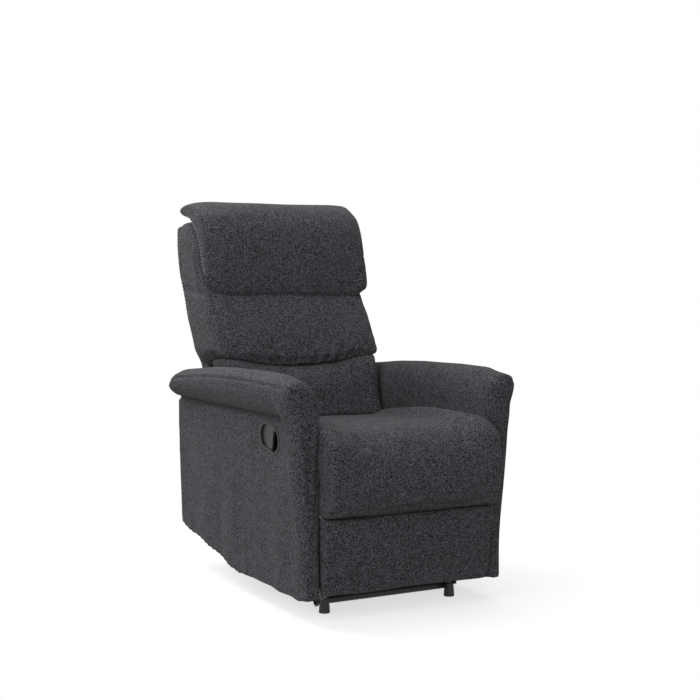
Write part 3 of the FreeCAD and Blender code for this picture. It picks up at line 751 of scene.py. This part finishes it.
    def form(self) -> bpy.types.Object:
        """The arm as one closed form on the sitter's left."""
        rings = [self.section(0.0, turn) for turn in np.linspace(math.pi / 2, 0, 9)]
        rings += [self.section(depth) for depth in np.linspace(0.060, 0.824, 90)]
        last = self.section(ARM_REAR)
        middle = last.mean(axis=0)
        last[:, 0] = middle[0] + (last[:, 0] - middle[0]) * 0.86
        rings.append(last)
        return loft("arm_cover_" + self.side.name.lower(), rings)

    def soften(self, obj: bpy.types.Object) -> None:
        """The cloth's fullness, folds and waves on the outer side."""
        co = coordinates(obj)
        depth = co[:, 1] - ARM_FRONT
        outer = smooth(co[:, 0], PANEL_FACE - 0.012, PANEL_FACE - 0.002) * smooth(-co[:, 2], -0.497, -0.47)
        full = 0.003 * bump(co[:, 2], 0.34, 0.16) * (1 - smooth(depth, 0.06, 0.34))
        full += 0.004 * bump(co[:, 2], 0.30, 0.20) * smooth(depth, 0.30, 0.42) * (1 - smooth(depth, 0.66, 0.80))
        cup = 1.0 - np.exp(-(((depth - 0.19) / 0.092) ** 4 + ((co[:, 2] - 0.441) / 0.066) ** 4))
        if self.side is Side.LEFT:
            cup = np.ones_like(cup)
        move = outer * full
        waves = np.array([noise.noise(Vector((c[1] * 11.0, c[2] * 2.6, 3.1))) for c in co])
        fine = np.array([noise.noise(Vector((c[1] * 46.0, c[2] * 5.0, 8.7))) for c in co])
        low = smooth(-co[:, 2], -0.46, -0.16)
        move += outer * (waves * 0.0055 * (0.45 + low) + fine * 0.0005)
        rim = bump(depth, 0.012, 0.03) * smooth(-co[:, 2], -0.50, -0.40)
        folds = np.array([noise.noise(Vector((c[0] * 60.0, c[1] * 60.0, c[2] * 3.0))) for c in co])
        no = normals(obj)
        flat = np.where(co[:, 0] > PANEL_FACE + 0.0002, co[:, 0] - PANEL_FACE - 0.0002, 0.0) * (1 - cup) * outer
        co = co + no * (move * cup + rim * folds * 0.0022)[:, None]
        co[:, 0] -= flat
        top = smooth(co[:, 2], 0.57, 0.60)
        sag = np.array([noise.noise(Vector((c[1] * 7.0, c[0] * 20.0, 1.7))) for c in co])
        co[:, 2] += top * sag * 0.0022
        place_vertices(obj, co)

    def seam(self) -> np.ndarray:
        """The long seam on the sitter's left: rear tip, flare's edge, then down the front."""
        tip = 12
        edge = []
        for depth in np.linspace(0.815, 0.10, 24):
            row = self.section(depth, count=len(self.BODY) * 24)
            target = np.array([INNER_FACE + self.BODY[tip][0], 0.0, 0.0])
            high = row[:, 2] > CREASE + 0.03
            index = int(np.argmin(np.where(high, abs(row[:, 0] - target[0]) + 0.25 * abs(row[:, 2] - 0.584), 9.0)))
            edge.append(tuple(row[index]))
        bend = [at(INNER_FACE + 0.0935, 0.065, 0.583), at(INNER_FACE + 0.0900, 0.030, 0.580)]
        way = self.FRONT_SEAM if self.side is Side.RIGHT else self.OUTER_SEAM
        front = [at(INNER_FACE + dx, -0.004 if k else 0.004, z) for k, (dx, z) in enumerate(way)]
        return open_curve(edge + [tuple(v) for v in bend + front], 190)

    def build(self) -> bpy.types.Object:
        """Form, fold and sew the cover, then turn it to its own side."""
        obj = self.form()
        remesh(obj, 0.0046)
        self.soften(obj)
        seam = self.seam()
        groove(obj, seam, 0.0046, 0.0034, 0.0006)
        crease = chair_path([(PANEL_FACE + 0.0005, depth, 0.4985) for depth in np.linspace(0.070, 0.826, 30)]
                            )[::-1]
        groove(obj, crease, 0.0050, 0.0042, 0.0018)
        groove(obj, chair_path([(PANEL_FACE + 0.004, 0.058, 0.500), (PANEL_FACE + 0.006, 0.044, 0.499)]),
               0.0050, 0.0085, 0.0)
        co = coordinates(obj)
        co[:, 0] *= self.side.value
        if self.side is Side.RIGHT:
            obj.data.flip_normals()
        place_vertices(obj, co)
        mirrored = seam * np.array([self.side.value, 1, 1])
        if self.side is Side.RIGHT:
            self.open_for_cup(obj)
        name = self.side.name.lower()
        self.keep(obj, "seat_box", [f"arm_{part}_{name}" for part in ("inner_panel", "outer_panel",
                                                                      "front_panel", "pad")])
        above = mirrored + np.array([-0.004 * self.side.value, 0.0, 0.006])
        self.sew(f"arm_stitches_{name}", obj, above, "seat_box", PLAIN_THREAD)
        return obj

    def open_for_cup(self, obj: bpy.types.Object) -> None:
        """Cut the opening that the release cup sits in."""
        low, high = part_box("release_cup")
        shell = 0.0035
        middle = (low + high) / 2
        length, height, tilt = 0.120, 0.074, math.radians(12.0)
        rows = []
        straight = (length - height) / 2
        radius = height / 2 - shell
        for k in range(48):
            angle = 2 * math.pi * k / 48
            y = math.cos(angle) * radius + math.copysign(straight, math.cos(angle))
            z = math.sin(angle) * radius
            rows.append((y * math.cos(tilt) - z * math.sin(tilt), y * math.sin(tilt) + z * math.cos(tilt)))
        rings = [np.array([(x, middle.y + y, middle.z + z) for y, z in rows])
                 for x in (low.x - 0.03, high.x + 0.002)]
        cutter = loft("cup_cutter", rings)
        mod = obj.modifiers.new("opening", "BOOLEAN")
        mod.operation = "DIFFERENCE"
        mod.solver = "EXACT"
        mod.object = cutter
        apply_modifiers(obj)
        bpy.data.objects.remove(cutter)


@dataclass
class SeatCushion(Upholstery):
    """The seat: a centre panel, a front roll and a bolster along each side."""

    MIDDLE = (
        (0.512, 0.425), (0.500, 0.440), (0.400, 0.451), (0.300, 0.457), (0.200, 0.460), (0.120, 0.464),
        (0.050, 0.463), (0.000, 0.454), (-0.038, 0.437), (-0.064, 0.410), (-0.077, 0.372), (-0.078, 0.340),
        (-0.068, 0.302), (-0.050, 0.269), (-0.034, 0.2610), (0.010, 0.2605), (0.024, 0.272),
        (0.026, 0.330), (0.040, 0.343), (0.200, 0.345), (0.400, 0.345), (0.508, 0.346), (0.514, 0.390),
    )
    BOLSTER = (
        (0.512, 0.440), (0.500, 0.455), (0.400, 0.470), (0.300, 0.480), (0.200, 0.487), (0.120, 0.490),
        (0.050, 0.489), (0.000, 0.482), (-0.038, 0.465), (-0.064, 0.440), (-0.077, 0.400), (-0.078, 0.350),
        (-0.066, 0.303), (-0.048, 0.269), (-0.034, 0.2610), (0.010, 0.2605), (0.024, 0.272),
        (0.026, 0.330), (0.040, 0.343), (0.200, 0.345), (0.400, 0.345), (0.508, 0.346), (0.514, 0.390),
    )

    def outline(self, x: float) -> np.ndarray:
        """The side outline at one place across the seat."""
        share = float(smooth(np.array(abs(x)), 0.150, 0.212))
        middle = np.array(self.MIDDLE)
        crown = 0.006 * (1 - (x / 0.19) ** 2) if abs(x) < 0.19 else 0.0
        rows = middle + (np.array(self.BOLSTER) - middle) * share
        rows[2:10, 1] += crown
        return closed_curve(rows, 200)

    def build(self) -> bpy.types.Object:
        """Form, fill and sew the cushion."""
        obj = sweep_across("seat_cushion_cover", self.outline, SEAT_HALF, 0.012, 60)
        remesh(obj, 0.0052)
        inflate(obj, 2.0, 0.007)
        co = coordinates(obj)
        co[:, 0] = np.clip(co[:, 0], -SEAT_HALF - 0.001, SEAT_HALF + 0.001)
        co[:, 0] *= 1.0 + 0.030 * smooth(-(co[:, 1] - ARM_FRONT), -0.045, -0.020)
        place_vertices(obj, co)
        across = chair_path([(x, 0.200 - 0.010 * math.cos(x * 8), 0.462 + 0.25 * x * x)
                             for x in np.linspace(-0.196, 0.196, 15)])
        groove(obj, across, 0.007, 0.0055, 0.0022)
        for way in (-1, 1):
            dart = chair_path([(way * 0.196, 0.196, 0.474), (way * 0.178, 0.12, 0.474), (way * 0.163, 0.05, 0.468),
                               (way * 0.152, -0.01, 0.454), (way * 0.147, -0.045, 0.434)])
            groove(obj, open_curve(dart, 20), 0.0065, 0.006, 0.0022)
            rear = chair_path([(way * 0.196, 0.200, 0.472), (way * 0.205, 0.30, 0.466), (way * 0.217, 0.40, 0.460),
                               (way * 0.228, 0.50, 0.452)])
            groove(obj, open_curve(rear, 20), 0.0065, 0.006, 0.002)
        hem = chair_path([(x, -0.056, 0.282) for x in np.linspace(-0.24, 0.24, 9)])
        groove(obj, hem, 0.003, 0.004, 0.0015)
        ripple(obj, 0.0030, (9.0, 9.0, 9.0), 2.0)
        ripple(obj, 0.0022, (26.0, 6.0, 6.0), 5.0,
               lambda co: bump(co[:, 1] - ARM_FRONT, 0.20, 0.07) + 0.6 * bump(co[:, 1] - ARM_FRONT, -0.06, 0.05))
        subdivide(obj)
        return self.keep(obj, "seat_box", ["seat_cushion"])


@dataclass
class BackRest(Upholstery):
    """The back's covers: lumbar cushion, upper cushion, side strips and rear cover."""

    LUMBAR = (
        (0.535, 0.432), (0.533, 0.445), (0.551, 0.494), (0.565, 0.543), (0.578, 0.585), (0.592, 0.612),
        (0.612, 0.621), (0.660, 0.616), (0.708, 0.604), (0.690, 0.560), (0.655, 0.480), (0.636, 0.425),
        (0.600, 0.412), (0.560, 0.418),
    )
    UPPER = (
        (0.602, 0.618), (0.600, 0.626), (0.613, 0.660), (0.633, 0.702), (0.655, 0.742), (0.675, 0.775),
        (0.698, 0.805), (0.722, 0.842), (0.748, 0.902), (0.770, 0.952), (0.797, 0.990), (0.832, 1.010),
        (0.870, 1.016), (0.908, 1.010), (0.925, 0.990), (0.924, 0.945), (0.918, 0.908), (0.904, 0.860),
        (0.879, 0.790), (0.849, 0.712), (0.821, 0.655), (0.792, 0.606), (0.750, 0.592), (0.660, 0.610),
    )
    REAR = (
        (0.926, 1.002), (0.933, 0.990), (0.931, 0.946), (0.925, 0.911), (0.912, 0.866), (0.882, 0.806),
        (0.852, 0.732), (0.826, 0.672), (0.799, 0.615), (0.760, 0.527), (0.720, 0.428), (0.690, 0.354),
        (0.665, 0.294), (0.656, 0.294), (0.655, 0.302), (0.678, 0.357), (0.708, 0.430), (0.742, 0.515),
        (0.764, 0.595), (0.784, 0.645), (0.818, 0.700), (0.852, 0.757), (0.876, 0.808), (0.889, 0.852),
        (0.894, 0.905), (0.897, 0.950), (0.897, 0.990), (0.904, 1.004),
    )
    LUMBAR_SEAM = (
        (-0.242, 0.622), (-0.210, 0.620), (-0.181, 0.615), (-0.134, 0.604), (-0.085, 0.597), (-0.035, 0.595),
        (0.040, 0.596), (0.115, 0.602), (0.154, 0.610), (0.185, 0.617), (0.242, 0.621),
    )

    @staticmethod
    def sag(co: np.ndarray) -> np.ndarray:
        """How far the lumbar seam dips below its ends, across the width."""
        line = np.array(BackRest.LUMBAR_SEAM)
        return 0.620 - np.interp(co[:, 0], line[:, 0], line[:, 1])

    @staticmethod
    def width_share(co: np.ndarray) -> np.ndarray:
        """The back's width at each height, as a share of the seat's."""
        return 1.0 + 0.056 * smooth(co[:, 2], 0.590, 0.645) + 0.018 * smooth(co[:, 2], 0.655, 0.750)

    def lumbar(self) -> bpy.types.Object:
        """The lower cushion, below the curved seam."""
        loop = closed_curve(self.LUMBAR, 150)
        obj = sweep_across("lumbar_cover", lambda x: loop, SEAT_HALF, 0.013, 50)
        remesh(obj, 0.0055)
        inflate(obj, 1.5, 0.004)
        co = coordinates(obj)
        co[:, 2] -= self.sag(co) * smooth(co[:, 2], 0.52, 0.61)
        co[:, 1] -= 0.006 * bump(co[:, 2], 0.55, 0.06) * bump(co[:, 0], 0.0, 0.16)
        co[:, 0] = np.clip(co[:, 0], -SEAT_HALF - 0.001, SEAT_HALF + 0.001)
        place_vertices(obj, co)
        widen(obj, self.width_share)
        ripple(obj, 0.0035, (7.0, 7.0, 9.0), 4.0)
        subdivide(obj)
        return self.keep(obj, "back", ["back_cushion_lower"])

    def upper(self) -> bpy.types.Object:
        """The upper cushion, full and gathered into the lumbar seam."""
        loop = closed_curve(self.UPPER, 240)
        obj = sweep_across("upper_back_cover", lambda x: loop, SEAT_HALF, 0.015, 50)
        remesh(obj, 0.0048)
        inflate(obj, 1.5, 0.005)
        co = coordinates(obj)
        front = smooth(-(co[:, 1] - ARM_FRONT - (co[:, 2] - 0.62) * 0.52), -0.66, -0.62)
        co[:, 1] -= 0.006 * front * bump(co[:, 2], 0.68, 0.060) * (1 - np.clip(np.abs(co[:, 0]) / 0.25, 0, 1) ** 3)
        co[:, 2] -= self.sag(co) * (1 - smooth(co[:, 2], 0.63, 0.76))
        place_vertices(obj, co)
        widen(obj, self.width_share)
        self.gather(obj)
        ripple(obj, 0.0040, (8.0, 8.0, 7.0), 7.0)
        crease = chair_path([(side * 0.262, depth, 0.797 + 0.02 * math.sin(depth * 9)) for side in (1,)
                             for depth in np.linspace(0.72, 0.90, 9)])
        for way in (1, -1):
            groove(obj, crease * np.array([way, 1, 1]), 0.004, 0.007, 0.002)
        subdivide(obj)
        return self.keep(obj, "back", ["back_cushion_upper"])

    def gather(self, obj: bpy.types.Object) -> None:
        """Fan of short pleats that rise from the middle of the lumbar seam."""
        co = coordinates(obj)
        depth = co[:, 1] - ARM_FRONT
        front = smooth(-(depth - (co[:, 2] - 0.62) * 0.52), -0.64, -0.61)
        rise = np.clip((co[:, 2] - (0.620 - self.sag(co))) / 0.085, 0, 1)
        spread = co[:, 0] * (1 - 0.25 * rise)
        pleat = np.array([noise.noise(Vector((s * 46.0, r * 1.3, 4.4))) + 0.5 * noise.noise(
            Vector((s * 80.0, r * 2.0, 9.4))) for s, r in zip(spread, rise)])
        strength = 0.0150 * (1 - rise) ** 1.1 * (0.35 + 0.65 * bump(co[:, 0], 0.0, 0.13)) * smooth(rise, 0.0, 0.08)
        co = co + normals(obj) * (pleat * strength * front)[:, None]
        place_vertices(obj, co)

    def rear(self) -> bpy.types.Object:
        """The rear cover, wrapped a little way round the sides."""
        loop = closed_curve(self.REAR, 260)
        obj = sweep_across("back_rear_cover_skin", lambda x: loop, SEAT_HALF + 0.001, 0.005, 50)
        remesh(obj, 0.0052)
        widen(obj, self.width_share)
        ripple(obj, 0.0024, (7.0, 7.0, 4.0), 11.0)
        self.keep(obj, "back", ["back_rear_cover"])
        return obj

    def side_strip(self, side: Side) -> bpy.types.Object:
        """The padded strip beside a back post, between the cushions and the rear cover."""
        name = side.name.lower()
        low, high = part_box("back_side_pad_" + name)
        inner = min(abs(low.x), abs(high.x))
        outline = closed_curve(((0.690, 0.390), (0.672, 0.405), (0.700, 0.480), (0.742, 0.600), (0.776, 0.640),
                                (0.790, 0.632), (0.770, 0.585), (0.735, 0.500), (0.702, 0.410)), 110)
        middle = (inner + SEAT_HALF) / 2
        obj = sweep_across("back_side_strip_" + name, lambda x: outline, (SEAT_HALF - inner) / 2, 0.005, 6)
        co = coordinates(obj)
        co[:, 0] += middle * side.value
        place_vertices(obj, co)
        remesh(obj, 0.004)
        return self.keep(obj, "back", ["back_side_pad_" + name])

    def build(self) -> None:
        """All the covers of the back and their top-stitching."""
        lumbar = self.lumbar()
        upper = self.upper()
        rear = self.rear()
        for side in Side:
            self.side_strip(side)
            line = chair_path([(side.value * 0.264, 0.907, 0.985), (side.value * 0.264, 0.904, 0.905),
                               (side.value * 0.264, 0.899, 0.852), (side.value * 0.264, 0.886, 0.808),
                               (side.value * 0.264, 0.862, 0.757), (side.value * 0.263, 0.828, 0.700),
                               (side.value * 0.260, 0.794, 0.645)])
            self.sew("side_stitches_" + side.name.lower(), rear, open_curve(line, 60), "back")
        LOG.info("back: %s, %s, %s", lumbar.name, upper.name, rear.name)


@dataclass
class Headrest(Upholstery):
    """The padded flap that drapes over the top of the back."""

    OUTER = (
        (0.702, 0.801), (0.690, 0.810), (0.685, 0.835), (0.686, 0.870), (0.691, 0.912), (0.700, 0.958),
        (0.714, 1.002), (0.741, 1.040), (0.786, 1.065), (0.835, 1.073), (0.880, 1.069), (0.912, 1.052),
    )
    INNER = (
        (0.711, 0.808), (0.707, 0.815), (0.714, 0.830), (0.728, 0.862), (0.743, 0.900), (0.756, 0.935),
        (0.772, 0.963), (0.793, 0.990), (0.818, 1.008), (0.847, 1.017), (0.880, 1.022), (0.908, 1.030),
    )
    HALF = 0.262

    def outline(self, x: float) -> np.ndarray:
        """The flap's closed side outline at one place across."""
        share = min(1.0, abs(x) / self.HALF)
        dome = 1.0 - (0.42 if x < 0 else 0.30) * share ** 7
        outer = np.array(self.OUTER)
        inner = np.array(self.INNER)
        outer = inner + (outer - inner) * dome
        outer[-3:, 1] += 0.012 * share ** 4
        inner[-3:, 1] += 0.010 * share ** 4
        return closed_curve(np.vstack([outer, inner[::-1]]), 220)

    def build(self) -> bpy.types.Object:
        """Form, fill and hem the flap."""
        obj = sweep_across("headrest_flap", self.outline, self.HALF, 0.0085, 70)
        remesh(obj, 0.0045)
        inflate(obj, 1.5, 0.004)
        co = coordinates(obj)
        hem = 1 - smooth(co[:, 2], 0.80, 0.90)
        corner = smooth(np.abs(co[:, 0]), 0.205, 0.262)
        co[:, 2] += hem * (np.where(co[:, 0] < 0, 0.034, 0.008) * corner ** 2 - 0.015 * (1 - corner))
        co[:, 0] += 0.010 * smooth(co[:, 0], 0.12, 0.262)
        co[:, 2] = np.minimum(co[:, 2], TOP + 0.018)
        place_vertices(obj, co)
        ripple(obj, 0.0030, (8.0, 8.0, 8.0), 15.0)
        edge = chair_path([(x, 0.692, 0.7925 + 0.034 * float(smooth(np.array(abs(x)), 0.205, 0.262)) ** 2)
                           for x in np.linspace(-0.25, 0.25, 25)])
        groove(obj, edge + np.array([0, 0, 0.010]), 0.0022, 0.0030, 0.0012)
        subdivide(obj)
        self.keep(obj, "back", ["headrest_pillow"])
        self.sew("headrest_hem_stitches", obj, edge + np.array([0, 0, 0.013]), "back", PLAIN_THREAD)
        inner = np.array(self.INNER)
        for side in Side:
            out = self.HALF + (0.012 if side is Side.LEFT else 0.003)
            rows = [(side.value * out, y - 0.007, z + 0.004) for y, z in inner[2:-1]]
            self.sew("headrest_side_stitches_" + side.name.lower(), obj, open_curve(chair_path(rows), 70), "back")
        return obj


@dataclass
class Footrest(Upholstery):
    """The padded panel that closes the front and swings up under the legs."""

    OUTLINE = (
        (0.017, 0.068), (-0.004, 0.0655), (-0.009, 0.072), (-0.013, 0.100), (-0.021, 0.150), (-0.029, 0.200),
        (-0.035, 0.240), (-0.034, 0.2555), (-0.024, 0.2575), (0.017, 0.2570), (0.0190, 0.160),
    )

    def build(self) -> bpy.types.Object:
        """Form the panel and give it its bulge and waves."""
        loop = closed_curve(self.OUTLINE, 150)
        obj = sweep_across("footrest_cover", lambda x: loop, SEAT_HALF + 0.0022, 0.003, 50)
        remesh(obj, 0.0045)
        co = coordinates(obj)
        bulge = (1 - np.clip(np.abs(co[:, 0]) / 0.242, 0, 1) ** 4) * bump(co[:, 2], 0.16, 0.075)
        co[:, 1] -= 0.010 * bulge * smooth(-(co[:, 1] - ARM_FRONT), -0.002, 0.004)
        low = 1 - smooth(co[:, 2], 0.065, 0.105)
        co[:, 0] *= 1 - 0.020 * low ** 2
        place_vertices(obj, co)
        ripple(obj, 0.0030, (7.0, 7.0, 7.0), 21.0)
        subdivide(obj)
        return self.keep(obj, "footrest", ["footrest_pad"])


@dataclass
class RearApron(Upholstery):
    """The covered board that closes the box under the back."""

    def build(self) -> bpy.types.Object:
        """A padded board between the arms."""
        low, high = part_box("rear_apron")
        near, far = low.y - ARM_FRONT, high.y - ARM_FRONT
        loop = closed_curve(((near, low.z + 0.004), (near, (low.z + high.z) / 2), (near, high.z - 0.004),
                             (near + 0.005, high.z), (far - 0.003, high.z), (far + 0.001, high.z - 0.006),
                             (far + 0.004, (low.z + high.z) / 2), (far + 0.001, low.z + 0.006),
                             (far - 0.003, low.z), (near + 0.005, low.z)), 120)
        obj = sweep_across("rear_apron_cover", lambda x: loop, high.x, 0.004, 40)
        remesh(obj, 0.0045)
        ripple(obj, 0.0016, (8.0, 8.0, 5.0), 31.0)
        return self.keep(obj, "seat_box", ["rear_apron"])


# ---------------------------------------------------------------- setting
@dataclass(frozen=True)
class Softbox:
    """One square studio lamp."""

    name: str
    place: tuple[float, float, float]
    aim: tuple[float, float, float]
    size: float
    power: float
    colour: tuple[float, float, float] = (1.0, 1.0, 1.0)

    def build(self) -> bpy.types.Object:
        """Hang the lamp and point it."""
        lamp = bpy.data.lights.new(self.name, "AREA")
        lamp.shape = "SQUARE"
        lamp.size = self.size
        lamp.energy = self.power
        lamp.color = self.colour
        obj = bpy.data.objects.new(self.name, lamp)
        obj.location = self.place
        obj.rotation_euler = (Vector(self.aim) - Vector(self.place)).to_track_quat("-Z", "Y").to_euler()
        bpy.context.scene.collection.objects.link(obj)
        return obj


@dataclass
class Studio:
    """Camera, lamps, floor and surroundings."""

    LAMPS = (
        Softbox("overhead_softbox", (0.3, 0.4, 3.0), (0.0, 0.0, 0.4), 2.2, 50.0),
        Softbox("rear_softbox", (-1.3, 2.3, 2.5), (0.0, 0.0, 0.6), 1.8, 104.0),
        Softbox("left_softbox", (-2.9, -0.9, 1.6), (0.0, 0.0, 0.58), 1.4, 54.0),
        Softbox("front_softbox", (-0.7, -3.7, 1.8), (0.0, 0.0, 0.60), 2.0, 47.0),
    )

    def camera(self) -> bpy.types.Object:
        """A long lens ahead of the chair, on its right side, just above the arms."""
        data = bpy.data.cameras.new("view")
        data.lens = 66.86
        data.sensor_width = 36.0
        obj = bpy.data.objects.new("view", data)
        turn, dip = math.radians(-28.209), math.radians(3.103)
        obj.location = at(-1.67098, -2.81291, 0.84439)
        back = Vector((math.sin(turn) * math.cos(dip), -math.cos(turn) * math.cos(dip), math.sin(dip)))
        obj.rotation_euler = (-back).to_track_quat("-Z", "Y").to_euler()
        bpy.context.scene.collection.objects.link(obj)
        bpy.context.scene.camera = obj
        return obj

    def floor(self) -> bpy.types.Object:
        """A wide white floor that only shows the chair's own shadow."""
        size = 30.0
        obj = mesh_object("studio_floor", np.array([(-size, -size, 0), (size, -size, 0), (size, size, 0),
                                                    (-size, size, 0)]), [(0, 1, 2, 3)])
        material = bpy.data.materials.new("studio_white")
        material.use_nodes = True
        n = Nodes(material.node_tree)
        shader = n.tree.nodes["Principled BSDF"]
        shader.inputs["Roughness"].default_value = 0.9
        place = n.add("ShaderNodeTexCoord").outputs["Object"]
        n.join(n.mix(n.noise(place, 3.0), (0.93, 0.93, 0.93), (0.96, 0.96, 0.96)), shader.inputs["Base Color"])
        away = n.add("ShaderNodeVectorMath", operation="LENGTH")
        n.join(place, away.inputs[0])
        n.join(n.span(away.outputs["Value"], 0.70, 1.15, 0.34, 0.0), shader.inputs["Alpha"])
        shader.inputs["Specular IOR Level"].default_value = 0.1
        obj.data.materials.append(material)
        return obj

    def surroundings(self) -> None:
        """White to the eye, soft grey as light."""
        world = bpy.data.worlds.new("studio")
        world.use_nodes = True
        n = Nodes(world.node_tree)
        n.tree.nodes.clear()
        out = n.add("ShaderNodeOutputWorld")
        seen = n.add("ShaderNodeBackground")
        seen.inputs["Color"].default_value = (1.0, 1.0, 1.0, 1.0)
        glow = n.add("ShaderNodeBackground")
        glow.inputs["Color"].default_value = (1.0, 1.0, 1.0, 1.0)
        glow.inputs["Strength"].default_value = 0.50
        swap = n.add("ShaderNodeMixShader")
        n.join(n.add("ShaderNodeLightPath").outputs["Is Camera Ray"], swap.inputs[0])
        n.join(glow.outputs[0], swap.inputs[1])
        n.join(seen.outputs[0], swap.inputs[2])
        n.join(swap.outputs[0], out.inputs["Surface"])
        bpy.context.scene.world = world

    def build(self) -> None:
        """Set everything up."""
        bpy.context.scene.view_settings.view_transform = "Standard"
        self.camera()
        self.floor()
        self.surroundings()
        for lamp in self.LAMPS:
            lamp.build()


def main() -> None:
    """Build the chair's looks and its setting."""
    logging.basicConfig(level=logging.INFO, format="%(message)s")
    workshop = Workshop()
    LOG.info("dressed %d construction nodes", workshop.dress_construction())
    for side in Side:
        ArmCover(workshop, side=side).build()
    SeatCushion(workshop).build()
    BackRest(workshop).build()
    Headrest(workshop).build()
    Footrest(workshop).build()
    RearApron(workshop).build()
    Studio().build()


if __name__ == "__main__":
    main()
